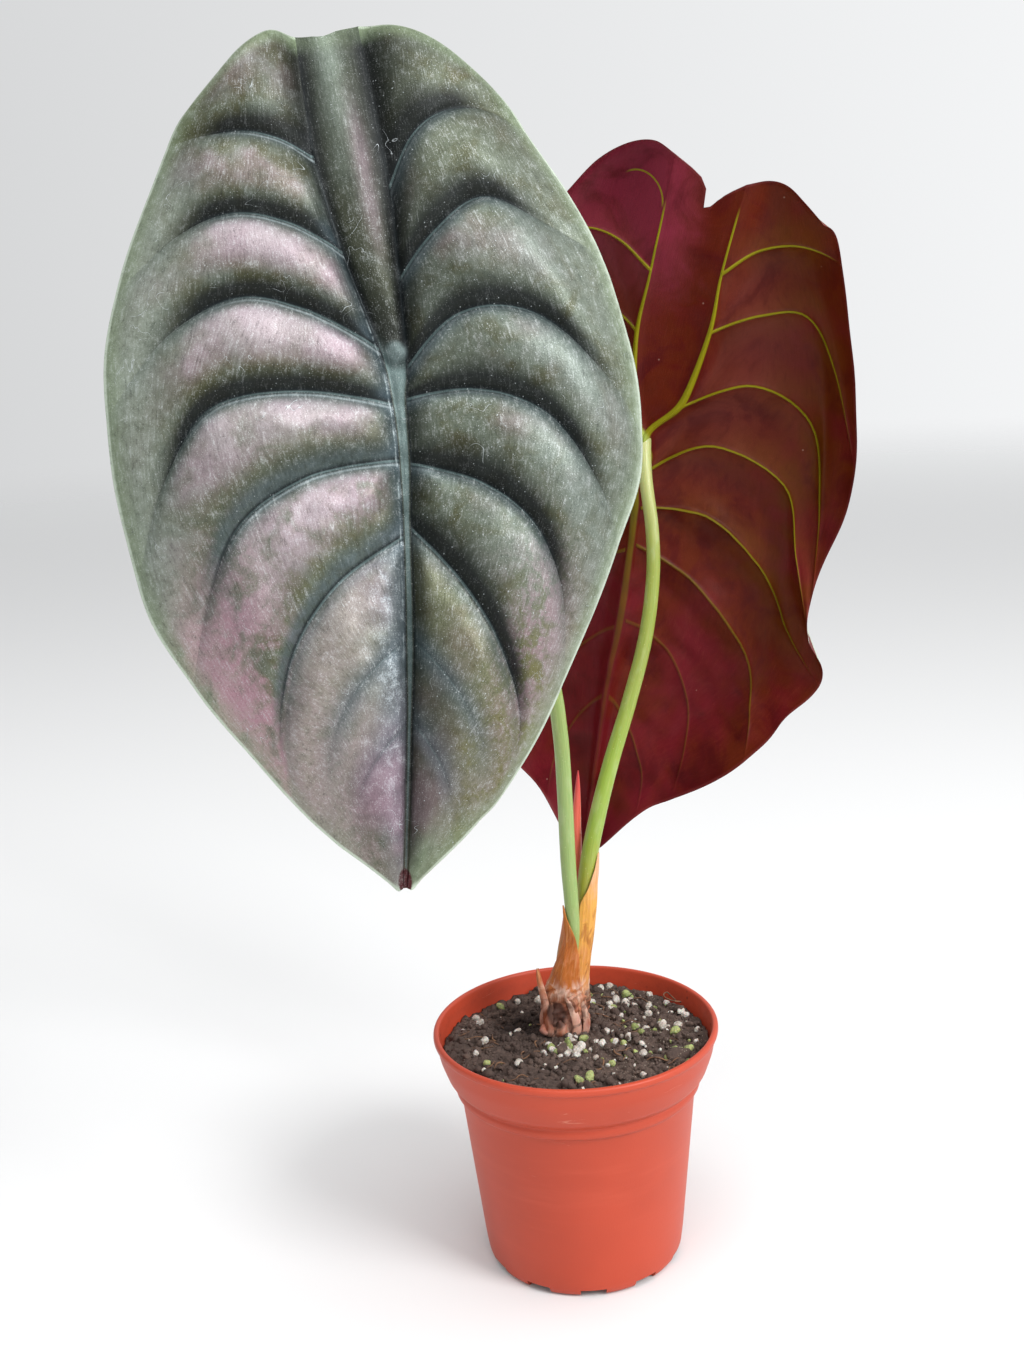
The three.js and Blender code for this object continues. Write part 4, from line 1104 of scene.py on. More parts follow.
def shoot(path, radii, sides, steps, shape=None, square_to=(0.0, 1.0, 0.0)):
    """Rings of points round the smooth line through path, and each point's place round and along it.

    The first ring direction is square to the line and to one that it never points along. shape gets the
    angle and the share along, and gives a factor on the radius.
    """
    index = np.linspace(0, len(path) - 1, steps + 1)
    centre, radius = through(path, index), through(radii, index)
    ahead = np.gradient(centre, axis=0)
    ahead /= np.linalg.norm(ahead, axis=1, keepdims=True)
    side = np.cross(square_to, ahead)
    side /= np.linalg.norm(side, axis=1, keepdims=True)
    front = np.cross(ahead, side)
    angle = np.linspace(0, 2 * np.pi, sides, endpoint=False)[None, :]
    share = np.linspace(0, 1, steps + 1)[:, None]
    reach = radius[:, None] * (shape(angle, share) if shape else 1)
    turned = np.cos(angle)[..., None] * side[:, None] + np.sin(angle)[..., None] * front[:, None]
    rings = centre[:, None] + reach[..., None] * turned
    along = np.broadcast_to(centre[:, None, 2:], rings.shape[:2] + (1,))
    around = np.stack([np.cos(angle) + 0 * share, np.sin(angle) + 0 * share], -1)
    return rings, np.concatenate([around, along], -1)


def with_ends(values):
    """The vectors of all ring points, and those of the two cap middles after them."""
    return np.concatenate([values.reshape(-1, 3), values[[0, -1]].mean(axis=1)])


def build_stalk(name, path, radii, leaf, finish):
    """A stalk that stands on the stem and is pressed into its blade, and stays below its upper face."""
    rings, around = shoot(path, radii, 40, 220, lambda angle, share: 1 + 0.12 * bell(1 - share, 0.03))
    rings[..., 2] = np.maximum(rings[..., 2], STEM_TOP + CLEARANCE)
    local = (rings - leaf["stalk_at"]) @ leaf_axes(leaf).T
    local[..., 2] = np.minimum(local[..., 2], -UNDER_BLADE)
    rings = local @ leaf_axes(leaf) + leaf["stalk_at"]
    points, faces = ring_solid(rings)
    return new_piece(name, points, faces, [finish], carried={"around": with_ends(around)})


FRONT_PATH = [
    (-3.4, 5.2, 81), (-0.9, 4.2, 95), (0.9, 3.8, 107), (0.4, 3.3, 130), (0.3, 2, 152), (-0.3, -3, 172),
    (-2.5, -11, 192), (-9, -25, 219), (-20, -41, 248), (-31, -52, 271), (-37, -56, 283),
    (-39.3, -58, 287.4),
]
FRONT_RADII = [2.4, 2.25, 2.15, 2.4, 2.35, 2.3, 2.25, 2.2, 2.1, 2, 2, 2.2]
BACK_PATH = [
    (0.4, 9.6, 81), (2.4, 9.2, 95), (4.5, 8.8, 108), (7, 9, 127), (11, 11, 143), (16, 14.5, 158.5),
    (22.5, 18.5, 176), (28.5, 22, 195), (31.8, 25, 213), (32.4, 27.5, 228), (31.3, 31.5, 244),
    (31.5, 38, 257),
]
BACK_RADII = [2.9, 3, 2.9, 2.7, 2.6, 2.5, 2.35, 2.25, 2.15, 2.1, 2.1, 2.4]
YOUNG_PATH = [
    (-4.8, 10.6, 81), (-2.8, 11, 95), (-0.8, 11.6, 105), (3.2, 12.6, 127), (4, 12.8, 139), (4.8, 12.8, 150),
    (5.2, 12.8, 156),
]
YOUNG_RADII = [1.8, 1.8, 1.7, 1.65, 1.5, 0.9, 0.2]


# %% [markdown]
# Stalk skin is waxy and a little translucent, so light gets some way into it before it comes back out. The
# front stalk is a cool pale green all the way. The back one is yellower, and orange where the sheath shaded
# it. Both change with height: each tone is laid over the one below it, eased in between two heights.

# %% The skins of stalks and young leaf
def stalk_finish(name, bottom, *changes):
    """Waxy skin with fine lengthwise strands, a few pale pores and a soft bloom."""
    paint = Paint(name)
    x, y, height = paint.parts(paint.carried("around"))
    strands = paint.noise(paint.vector(x * 9.0, y * 9.0, height * 0.07), 1.0, 3.0, 0.6)
    clouds = paint.noise(paint.vector(x * 0.8, y * 0.8, height * 0.11), 1.0, 3.0, 0.55)
    pores = paint.specks(paint.vector(x * 2.2, y * 2.2, height * 0.45), 1.6, 0.16, 0.35)
    paint.by_height(height + (clouds - 0.5) * 10.0, bottom, *changes)
    paint.lay((strands - 0.5).step(0.0, 0.35) * 0.3, (0.8, 0.84, 0.6))
    paint.lay((0.5 - strands).step(0.0, 0.35) * 0.35, (0.26, 0.38, 0.13))
    paint.lay(clouds.step(0.5, 0.75) * 0.22, (0.76, 0.8, 0.64))
    paint.lay(pores * 0.45, (0.85, 0.87, 0.68))
    roughness = 0.36 + clouds * 0.14
    return paint.finish(
        roughness, strands, 0.12, Subsurface_Weight=0.15, Subsurface_Scale=0.002, Coat_Weight=0.1
    )


front_skin = stalk_finish(
    "cool_green_skin",
    (0.58, 0.63, 0.31),
    (92, 112, (0.56, 0.655, 0.375)),
    (150, 180, (0.55, 0.635, 0.34)),
)
back_skin = stalk_finish(
    "yellow_green_skin",
    (0.7, 0.44, 0.13),
    (108, 118, (0.6, 0.6, 0.18)),
    (118, 140, (0.54, 0.635, 0.22)),
    (150, 190, (0.54, 0.59, 0.24)),
    (215, 245, (0.66, 0.68, 0.42)),
)
stalk_front = build_stalk("stalk_front", FRONT_PATH, FRONT_RADII, FRONT_LEAF, front_skin)
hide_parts("petiole_front")
stalk_back = build_stalk("stalk_back", BACK_PATH, BACK_RADII, BACK_LEAF, back_skin)
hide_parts("petiole_back")

# %% [markdown]
# The next leaf is still rolled up tight. Its free edge shows as a seam that winds slowly round the point:
# the radius falls off steadily round the roll, and jumps back there by 0.16 of its value.

# %% The rolled young leaf
ROLL_TURNS = 0.8


def rolled(angle, share):
    """Radius factor of a rolled sheet: it falls off steadily round the roll and jumps back at the seam."""
    round_roll = (angle / (2 * np.pi) + ROLL_TURNS * share + 0.1) % 1
    return 1.04 - 0.16 * round_roll


paint = Paint("coral_skin")
x, y, height = paint.parts(paint.carried("around"))
strands = paint.noise(paint.vector(x * 5.0, y * 5.0, height * 0.12), 1.0, 3.0, 0.6)
paint.by_height(
    height, (0.7, 0.5, 0.26), (95, 115, (0.86, 0.38, 0.3)), (140, 156, (0.78, 0.24, 0.24))
)
paint.lay((strands - 0.5).step(0.0, 0.3) * 0.35, (0.95, 0.62, 0.52))
paint.lay((0.5 - strands).step(0.0, 0.3) * 0.4, (0.55, 0.14, 0.12))
coral_skin = paint.finish(0.4, strands, 0.12, Subsurface_Weight=0.12, Subsurface_Scale=0.002)

rings, around = shoot(YOUNG_PATH, YOUNG_RADII, 44, 130, rolled)
rings[..., 2] = np.maximum(rings[..., 2], STEM_TOP + CLEARANCE)
points, faces = ring_solid(rings)
young_leaf = new_piece(
    "young_leaf", points, faces, [coral_skin], carried={"around": with_ends(around)}
)
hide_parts("new_shoot")

# %% [markdown]
# ## The dry sheaths
# Every leaf grows out of the sheath of the one before it, and that sheath dries into streaked paper round
# the stem. Two stand here. The right one keeps a long tongue up the back stalk, from amber low down to a
# straw colour at the point. The left one is darker and ends lower. Both are wrinkled near the soil, with
# ragged edges that curl outward. The tables are those of the CAD source, read at a far finer grid.

# %% Papery tongues round the stem
SHEATH_WALL = 0.7
PAPER = 0.32
SHEATH_ROWS, SHEATH_COLUMNS = 130, 100
CAD_STEPS = 16


def sheath(table, seed):
    """The outer and the inner face of a sheath, and each point's place round and along it."""
    count = len(table["heights"])
    index = np.linspace(0, count - 1, SHEATH_ROWS + 1)
    rows = {key: through(values, index)[:, None] for key, values in table.items() if key != "pleat"}
    part = crowded(SHEATH_COLUMNS, 0.45)[None, :]
    up = index[:, None] / (count - 1)
    height = rows["heights"]
    ragged = rolling(np.stack([height * 1.0, 0 * height], -1), 7, seed) * (1 - 0.7 * eased(0.2, 0.6, up))
    start = rows["start"] + 5 * ragged
    end = rows["end"] - 5 * np.roll(ragged, 9, axis=0)
    degrees = between(start, end, part)
    angle = np.radians(degrees)
    along = rows["radius"] * angle
    place = np.stack([along, height + 0 * angle], -1)
    low = 1 - eased(80, 92, height)
    crumple = (0.5 * rolling(place * [1.6, 0.7], 7, seed + 1) + 0.25 * rolling(place, 2.6, seed + 2)) * low
    crumple = np.maximum(crumple, -0.3)
    veins = 0.04 * np.sin(along * 7 + 1.5 * rolling(place * [1, 0.08], 6, seed + 3))
    fold = table["pleat"] * np.sin(6 * angle + 0.8 * CAD_STEPS * up) * np.sin(np.pi * part)
    from_edge = np.minimum(part, 1 - part) * np.abs(np.radians(end - start)) * rows["radius"]
    curled = 0.45 * bell(from_edge, 1.1) * (1 - eased(0.85, 1, up))
    outer = rows["radius"] + np.maximum(0, fold) + SHEATH_WALL + curled + veins + crumple - 0.1
    hem = 0.8 * rolling(np.stack([along, 0 * along], -1), 4, seed + 4) * (1 - eased(0, 0.1, up))
    carried = np.stack([3 * np.cos(angle), 3 * np.sin(angle), height + 0 * angle], -1)
    faces = []
    for reach in [outer, outer - PAPER]:
        x = rows["axis_x"] + reach * np.cos(angle)
        y = rows["axis_y"] + reach * np.sin(angle)
        faces.append(np.stack([x, y, height + hem], -1)[:, ::-1])
    return faces[0], faces[1], carried[:, ::-1]


RIGHT_SHEATH = {
    "heights": [71.4, 78, 83.5, 92, 103, 113, 121, 130],
    "axis_x": [-3, -2.3, -1.9, 0.9, 3.8, 5.3, 6.3, 7.4],
    "axis_y": [8, 8, 8.2, 9, 8.9, 8.9, 8.9, 9.1],
    "radius": [6.9, 6.6, 6.4, 4.5, 3.2, 3, 2.75, 2.5],
    "start": [-75, -76, -80, -92, -108, -120, -80, -30],
    "end": [130, 128, 122, 105, 85, 60, 30, 0],
    "pleat": 0.2,
}
LEFT_SHEATH = {
    "heights": [71.4, 78, 83.5, 91, 98, 105, 115],
    "axis_x": [-3, -2.3, -2.1, -1.6, -0.2, 1, 0.8],
    "axis_y": [8, 8, 7.4, 5.4, 4.1, 3.8, 3.6],
    "radius": [7.1, 6.9, 6.6, 4.4, 3, 2.15, 2.15],
    "start": [150, 150, 152, 158, 165, 170, 174],
    "end": [325, 325, 322, 316, 308, 276, 194],
    "pleat": 0.25,
}


def ribbon(path, widths, facing, curl, steps=40, columns=14, thickness=PAPER):
    """A narrow strip of paper along a smooth line, as its upper and lower grid of points.

    facing is the way its upper face looks. curl bends its two edges away from that way, in millimetres.
    """
    index = np.linspace(0, len(path) - 1, steps + 1)
    centre, width = through(path, index), through(widths, index)[:, None, None]
    ahead = np.gradient(centre, axis=0)
    ahead /= np.linalg.norm(ahead, axis=1, keepdims=True)
    side = np.cross(facing, ahead)
    side /= np.linalg.norm(side, axis=1, keepdims=True)
    over = np.cross(ahead, side)[:, None]
    part = np.linspace(-1, 1, columns + 1)[None, :, None]
    middle = centre[:, None] + part * width / 2 * side[:, None] - curl * part**2 * over
    return middle + over * thickness / 2, middle - over * thickness / 2


def join(solids):
    """Several closed solids as one set of points and faces."""
    starts = np.cumsum([0] + [len(points) for points, _ in solids])
    faces = [group + start for (_, groups), start in zip(solids, starts) for group in groups]
    return np.concatenate([points for points, _ in solids]), faces


# %% [markdown]
# Dry sheath paper is streaked lengthwise by its strands, blotched where it stayed damp, and paler along the
# torn crest above the foot. The colour runs by height, as on the stalks, and grows pinkish-brown towards the
# soil. In front, painted shade darkens the hollow between the papers: an oval, in millimetres.

# %% The paper of the sheaths
HOLLOW_SHADE_AT, HOLLOW_SHADE_SIZE = (-5.4, 79.6), (3.3, 4.4)


def paper_finish(name, bottom, *changes):
    """Streaked dry paper: dark blotches and flesh-coloured patches low down, and a pale crest over them."""
    paint = Paint(name)
    x, y, height = paint.parts(paint.carried("around"))
    strands = paint.noise(paint.vector(x * 2.4, y * 2.4, height * 0.09), 1.0, 4.0, 0.65)
    blotches = paint.noise(paint.vector(x * 0.35, y * 0.35, height * 0.22), 1.0, 4.0, 0.6, 0.8)
    fine = paint.noise(paint.place(), 2600.0, 2.0, 0.6)
    damp = paint.noise(paint.vector(x * 0.5 + 7.0, y * 0.5, height * 0.16), 1.0, 3.0, 0.55, 0.6)
    paint.by_height(height + (blotches - 0.5) * 14.0, bottom, *changes)
    paint.lay((strands - 0.5).step(0.0, 0.3) * 0.5, (0.92, 0.74, 0.5))
    paint.lay((0.5 - strands).step(0.0, 0.3) * 0.3, (0.54, 0.29, 0.1))
    scorched = ((damp - 0.48) * 7.0).step() * height.step(116.0, 108.0)
    paint.lay(scorched * 0.55, (0.56, 0.25, 0.05))
    rosy = ((0.47 - damp) * 8.0).step() * height.step(84.0, 92.0)
    paint.lay(rosy * 0.3, (0.84, 0.56, 0.4))
    low = height.step(90.0, 82.0)
    fleshy = ((0.52 - damp) * 7.0).step() * low
    paint.lay(fleshy * 0.7, (0.8, 0.62, 0.54))
    crest = (height + (strands - 0.5) * 9.0 - 87.0).bell(2.4)
    crest = crest * ((blotches + damp - 0.9) * 5.0).step()
    paint.lay(crest * 0.8, (0.88, 0.74, 0.66))
    stained = ((blotches - 0.47) * 6.0).step() * low
    paint.lay(stained * 0.75, (0.26, 0.14, 0.1))
    metres_x, metres_y, metres_z = paint.parts(paint.place())
    # Painted shade of the hollow between the papers, on their front side only.
    off_x = (metres_x * 1000.0 - HOLLOW_SHADE_AT[0]) / HOLLOW_SHADE_SIZE[0]
    off_z = (metres_z * 1000.0 - HOLLOW_SHADE_AT[1]) / HOLLOW_SHADE_SIZE[1]
    hollow = (paint.length(paint.vector(off_x, off_z)) + (blotches - 0.5) * 1.2).step(1.15, 0.75)
    in_front = (metres_y * 1000.0).step(6.0, 4.0)
    paint.lay(hollow * in_front * 0.85, (0.2, 0.11, 0.08))
    paint.lay(height.step(74.0, 71.5) * 0.7, (0.2, 0.14, 0.12))
    roughness = 0.55 + fine * 0.3
    relief = strands * 0.7 + fine * 0.3
    return paint.finish(roughness, relief, 0.2, Subsurface_Weight=0.1, Subsurface_Scale=0.001)


straw = (0.84, 0.64, 0.48)
amber = (0.8, 0.53, 0.22)
gold = (0.86, 0.62, 0.27)
rust = (0.7, 0.38, 0.1)
flesh = (0.68, 0.46, 0.38)
right_paper = paper_finish(
    "amber_paper", flesh, (80, 90, amber), (94, 106, gold), (114, 124, straw)
)
left_paper = paper_finish("rust_paper", flesh, (80, 88, rust), (102, 114, (0.76, 0.46, 0.16)))
red_paper = paper_finish("red_paper", (0.48, 0.25, 0.15), (80, 90, (0.66, 0.36, 0.19)))
flesh_paper = paper_finish("flesh_paper", (0.74, 0.52, 0.46), (74, 80, (0.84, 0.68, 0.6)))


def build_sheath(name, table, seed, finish, node):
    """One sheath as a closed thin sheet."""
    outer, inner, around = sheath(table, seed)
    points, faces, _, edge = sheet_solid(outer, inner, 0.05)
    values = around.reshape(-1, 3)
    values = np.concatenate([values, values, values[edge]])
    piece = new_piece(name, points, faces, [finish], carried={"around": values})
    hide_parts(node)


build_sheath("sheath_paper_right", RIGHT_SHEATH, 21, right_paper, "sheath_right")
build_sheath("sheath_paper_left", LEFT_SHEATH, 31, left_paper, "sheath_left")

# %% [markdown]
# Torn remains of older sheaths stand round the foot: a reddish strap that peels off to the left, two pale
# curled lips beside the dark hollow, a fleshy knob to the left of them, and scraps against the stem.

# %% The strap and the torn scraps
def build_scraps(name, solids, finish):
    """Several closed solids as one piece, all in one finish."""
    points, faces = join(solids)
    around = points * [0.5, 0.5, 1]
    new_piece(name, points, faces, [finish], carried={"around": around})


def scrap(path, widths, facing, curl=0.6, thickness=0.4):
    """A closed ribbon: its points and faces."""
    return sheet_solid(*ribbon(path, widths, facing, curl, thickness=thickness), 0.05)[:2]


def knob(at, radii, steps=20, sides=24):
    """A stretched ball: rings of radius sin(a) at the height -cos(a), for a from 0 to pi."""
    a = np.linspace(0.12, np.pi - 0.12, steps)[:, None]
    angle = np.linspace(0, 2 * np.pi, sides, endpoint=False)[None, :]
    unit = np.stack([np.sin(a) * np.cos(angle), np.sin(a) * np.sin(angle), -np.cos(a) + 0 * angle], -1)
    bumps = 1 + 0.07 * rolling(unit, 1.5, 37)[..., None]
    return ring_solid(unit * bumps * np.array(radii) + np.array(at))


strap_path = [(-8.6, 2.4, 74.5), (-8.8, 2.3, 80), (-9.8, 2.6, 86), (-10.7, 2.8, 91), (-11, 3, 94.5)]
strap = scrap(strap_path, [2.8, 2.6, 2.2, 1.6, 0.6], (-0.25, -1, 0.1), 0.45, 0.5)
build_scraps("sheath_strap", [strap], red_paper)

LIP_TABLE = [
    (
        [(0.4, 0, 71.6), (0.9, -0.4, 76), (-0.3, -0.2, 81), (-2.4, 0.2, 85.6)],
        (3.2, 3, 2.4, 0.8), (0.5, -1, 0),
    ),
    (
        [(3.6, 1.6, 71.8), (4.2, 1.4, 76), (3.6, 1.6, 80), (2.6, 2, 84)],
        (3, 2.8, 2.2, 0.8), (0.8, -1, 0),
    ),
]
RAG_TABLE = [
    (
        [(-8.2, 1.4, 71.8), (-8.6, 1.2, 76), (-8, 1.4, 79), (-7, 1.8, 83)],
        (3.2, 3, 2.4, 0.8), (-0.7, -1, 0),
    ),
    (
        [(-4.6, 0, 71.4), (-4.2, -0.5, 73.5), (-4.4, -0.4, 75.6), (-5, 0, 77.6)],
        (4, 3.6, 2.8, 1), (0, -1, 0.2),
    ),
    (
        [(-10.4, 7, 71.8), (-10.8, 6.6, 75), (-10.4, 6.2, 78), (-9.8, 6, 80)],
        (3, 2.6, 1.8, 0.6), (-1, -0.4, 0),
    ),
]
lips = [scrap(*row) for row in LIP_TABLE] + [knob((-9.3, 3, 73.6), (1.9, 1.7, 2.1))]
build_scraps("sheath_lips", lips, flesh_paper)
build_scraps("sheath_scraps", [scrap(*row) for row in RAG_TABLE], left_paper)

# %% [markdown]
# ## The pot
# A nursery pot is blown or pressed from one thin sheet of plastic: straight tapering wall, a bead, a flared
# collar, a rolled lip. So it is one closed profile turned about its axis, floor and all. Each corner of the
# profile gets a small arc, because moulded plastic has no sharp corner and the arcs catch the light. The
# notches in the foot are cut with a Boolean, like the cutter's slots that they are on the mould.

# %% Turn the profile
POT_HEIGHT, RIM_RADIUS, BASE_RADIUS, NECK_RADIUS, WALL = 77, 45, 29, 37.2, 1.3
COLLAR_FOOT = 58
POT_SIDES = 240
INNER_WALL = [
    (RIM_RADIUS - 1.8, POT_HEIGHT - 0.4), (RIM_RADIUS - 2.1, POT_HEIGHT - 2),
    (RIM_RADIUS - 3, POT_HEIGHT - 7), (RIM_RADIUS - 5.2, COLLAR_FOOT + 5),
    (NECK_RADIUS - WALL, COLLAR_FOOT), (BASE_RADIUS + 1.9, 8),
    (BASE_RADIUS + 0.6, WALL + 0.8), (BASE_RADIUS - 1, WALL),
]
OUTER_WALL = [
    (BASE_RADIUS - 1, 0), (BASE_RADIUS + 1.3, 0.25), (BASE_RADIUS + 2.4, 2.2), (BASE_RADIUS + 3.2, 8),
    (NECK_RADIUS + 0.15, COLLAR_FOOT - 0.9), (NECK_RADIUS + 1.65, COLLAR_FOOT - 0.2),
    (NECK_RADIUS + 1.9, COLLAR_FOOT + 1.5), (NECK_RADIUS + 1.3, COLLAR_FOOT + 3),
    (RIM_RADIUS - 3.9, COLLAR_FOOT + 5.2), (RIM_RADIUS - 1.7, POT_HEIGHT - 7.5),
    (RIM_RADIUS - 0.9, POT_HEIGHT - 2.6), (RIM_RADIUS, POT_HEIGHT - 2), (RIM_RADIUS, POT_HEIGHT - 0.5),
    (RIM_RADIUS - 0.6, POT_HEIGHT), (RIM_RADIUS - 1.4, POT_HEIGHT),
]


def filleted(corners, reach, arc=5):
    """Rounds every inner corner of a line: a short curve from reach before it to reach after it."""
    corners = np.array(corners, float)
    line = [corners[0]]
    share = np.linspace(0, 1, arc)[:, None]
    for before, corner, after in zip(corners, corners[1:], corners[2:]):
        legs = [before - corner, after - corner]
        lengths = [np.linalg.norm(leg) for leg in legs]
        ends = [corner + leg / size * min(reach, 0.45 * size) for leg, size in zip(legs, lengths)]
        line.extend((1 - share) ** 2 * ends[0] + 2 * share * (1 - share) * corner + share**2 * ends[1])
    return np.array([*line, corners[-1]])


def turned(profile, sides):
    """Rings of points from a profile of radius and height."""
    angle = np.linspace(0, 2 * np.pi, sides, endpoint=False)
    radius, height = profile[:, :1], profile[:, 1:]
    return np.stack([radius * np.cos(angle), radius * np.sin(angle), height + 0 * angle], -1)


profile = filleted(OUTER_WALL + INNER_WALL, 1.2)
pot_points, pot_faces = ring_solid(turned(profile, POT_SIDES))
print("profile points:", len(profile))

# %% [markdown]
# The plastic is dyed through, so its colour hardly varies: two near tones in broad clouds, with faint flow
# lines from the mould. Handling has left fine pale scuffs, mostly on the collar, and watering has left peat
# dust inside, above the soil.

# %% The pot's plastic
paint = Paint("terracotta_plastic")
x, y, z = paint.parts(paint.place())
radius = (x * x + y * y) ** 0.5
clouds = paint.noise(paint.place(), 26.0, 3.0, 0.5)
flow = paint.noise(paint.vector(x * 18.0, y * 18.0, z * 140.0), 1.0, 3.0, 0.6)
grain = paint.noise(paint.place(), 2400.0, 2.0, 0.6)
paint.start(clouds.step(0.3, 0.7), (0.68, 0.24, 0.14), (0.72, 0.262, 0.158))
paint.lay((flow - 0.5).step(0.0, 0.3) * 0.2, (0.83, 0.37, 0.27))
scratched = paint.noise(paint.vector(x * 60.0, y * 60.0, z * 700.0), 1.0, 4.0, 0.7, 1.5)
scuffs = scratched.step(0.66, 0.74) * paint.noise(paint.place(), 60.0).step(0.45, 0.65)
scuffs = scuffs * (z * 1000.0).step(20.0, 62.0)
paint.lay(scuffs * 0.4, (0.95, 0.72, 0.62))
INNER_SLOPE = 0.35
inner_reach = radius * 1000.0 - NECK_RADIUS - (z * 1000.0 - COLLAR_FOOT) * INNER_SLOPE
inside = (z * 1000.0).step(76.6, 75.5) * inner_reach.step(0.6, -0.6)
dust = paint.noise(paint.place(), 420.0, 4.0, 0.7)
damp = (z * 1000.0 + dust * 8.0).step(79.5, 74.0) * inside
paint.lay(damp * 0.6, (0.33, 0.14, 0.1))
paint.lay(paint.specks(paint.place(), 420.0, 0.28, 0.14) * inside * 0.8, (0.12, 0.08, 0.07))
roughness = 0.4 + clouds * 0.1 + scuffs * 0.2 + damp * 0.2
pot_plastic = paint.finish(roughness, grain + scuffs * 2.0, 0.03, Specular_IOR_Level=0.4)

# %% [markdown]
# The notches go through the corner of floor and wall, and let the water out. The cutter is a throwaway
# object: its Boolean is evaluated once into a mesh of its own, and both helpers are removed again.

# %% Cut the notches
NOTCHES, NOTCH_WIDTH, NOTCH_HEIGHT = 11, 8.0, 2.6
NOTCH_REACH = (24.0, 40.0)
NOTCH_START = 0.3
SHARP_CORNER = np.radians(38)


def notch_cutter():
    """Boxes across the foot's edge, one in each notch, as one mesh."""
    cutter = bmesh.new()
    inner, outer = NOTCH_REACH
    size = Matrix.Diagonal(((outer - inner) / 1000, NOTCH_WIDTH / 1000, 2 * NOTCH_HEIGHT / 1000, 1))
    for n in range(NOTCHES):
        spin = Matrix.Rotation(2 * np.pi * (n + NOTCH_START) / NOTCHES, 4, "Z")
        at = Matrix.Translation(((inner + outer) / 2000, 0, 0))
        bmesh.ops.create_cube(cutter, size=1, matrix=spin @ at @ size)
    mesh = bpy.data.meshes.new("notch_cutter")
    cutter.to_mesh(mesh)
    cutter.free()
    return mesh


def cut(mesh, cutter):
    """The mesh less the cutter, as a new mesh."""
    whole, tool = bpy.data.objects.new("whole", mesh), bpy.data.objects.new("tool", cutter)
    for helper in [whole, tool]:
        scene.collection.objects.link(helper)
    less = whole.modifiers.new("notches", "BOOLEAN")
    less.operation, less.solver, less.object = "DIFFERENCE", "EXACT", tool
    evaluated = whole.evaluated_get(bpy.context.evaluated_depsgraph_get())
    result = bpy.data.meshes.new_from_object(evaluated)
    for helper in [whole, tool]:
        bpy.data.objects.remove(helper)
    return result


pot = new_piece("nursery_pot", pot_points, pot_faces, [pot_plastic])
pot.data = cut(pot.data.copy(), notch_cutter())
pot.data.set_sharp_from_angle(angle=SHARP_CORNER)
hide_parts("pot")
print("pot faces after the cut:", len(pot.data.polygons), "finishes:", len(pot.data.materials))

# %% [markdown]
# ## The soil
# Potting mix is peat crumbs, fine fibres and white volcanic grains, perlite, some of them green with algae.
# A noise texture on a flat disc would show at the rim and round the stem, so the surface has real relief, and
# loose crumbs and grains lie in it as small solids. The surface runs from the wall to the stem's hole in
# rings, with the same hollow behind the stem and rise in front of it as the CAD soil.

# %% The crumbly surface
SOIL_LEVEL = 71
STEM_AT = np.array([-4.4, 8.0])
STEM_LEAN = 2.4
STEM_BOTTOM = 46
SOIL_SIDES = 260


def soil_height(x, y):
    """The CAD soil: rolling relief, a bell-shaped hollow at the left behind the stem, a rise before it."""
    relief = 0.6 * np.sin(x * 0.31 + 1.3) * np.cos(y * 0.27) + 0.4 * np.sin(x * 0.83 + y * 0.61)
    hollow = 4.5 * bell(np.hypot(x + 20, y - 22), 11)
    rise = 1.6 * bell(np.hypot(x - STEM_AT[0] - 3, y - STEM_AT[1] + 4), 9)
    return SOIL_LEVEL + 1.1 * relief - hollow + rise


def crumbly(x, y):
    """Soil height with crumbs of three sizes on it."""
    place = np.stack([x, y], -1)
    coarse, medium = 0.35 * rolling(place, 5, 41, 14), 0.28 * rolling(place, 2.2, 42, 18)
    fine = 0.2 * rolling(place, 1.1, 43, 22)
    return soil_height(x, y) + (coarse + medium + fine)


def stem_radius(z):
    """The corm in the soil, narrowing to the neck."""
    part = (z - STEM_BOTTOM) / (STEM_TOP - STEM_BOTTOM)
    corm = 7.4 * np.sqrt(1 - 0.75 * (1 - eased(-0.1, 0.4, part)) ** 2)
    return between(corm, 6, eased(0.45, 0.65, part)) * 1.03 + 0.6


def circle(radius, z, centre=(0.0, 0.0)):
    """One ring of points at a height."""
    angle = np.linspace(0, 2 * np.pi, SOIL_SIDES, endpoint=False)
    x, y = centre[0] + radius * np.cos(angle), centre[1] + radius * np.sin(angle)
    return np.stack([x, y, z + 0 * x], -1)


wall = np.array(INNER_WALL[::-1])
body_heights = [WALL + CLEARANCE, 8, 30, 45, COLLAR_FOOT, 64, 68.5]
body = [circle(np.interp(z, wall[:, 1], wall[:, 0]) - 0.4, z) for z in body_heights]
hole_heights = np.array([70.5, 68, 64, 60, 56, 52, 48, STEM_BOTTOM - 0.5])
lean = STEM_LEAN * eased(60, STEM_TOP, hole_heights)
hole = [circle(stem_radius(z), z, (STEM_AT[0] + dx, STEM_AT[1])) for z, dx in zip(hole_heights, lean)]
outer_edge = circle(np.interp(SOIL_LEVEL, wall[:, 1], wall[:, 0]) - 0.4, SOIL_LEVEL)
surface = []
for share in np.linspace(0, 1, 75) ** 0.9:
    ring = between(outer_edge, hole[0], share)
    ring[:, 2] = crumbly(ring[:, 0], ring[:, 1])
    surface.append(ring)
soil_points, soil_faces = ring_solid(np.array(body + surface + hole))

# %% [markdown]
# Moist peat is a dark grey-brown, darker in its pores and browner where it starts to dry. Painted shadow makes
# it nearly black in the hollow behind the stem, an oval in millimetres. Fine pale powder from the perlite lies
# on its right half.

# %% The peat
SOIL_SHADOW_AT, SOIL_SHADOW_SIZE = (-16.0, 14.0), (10.0, 14.0)


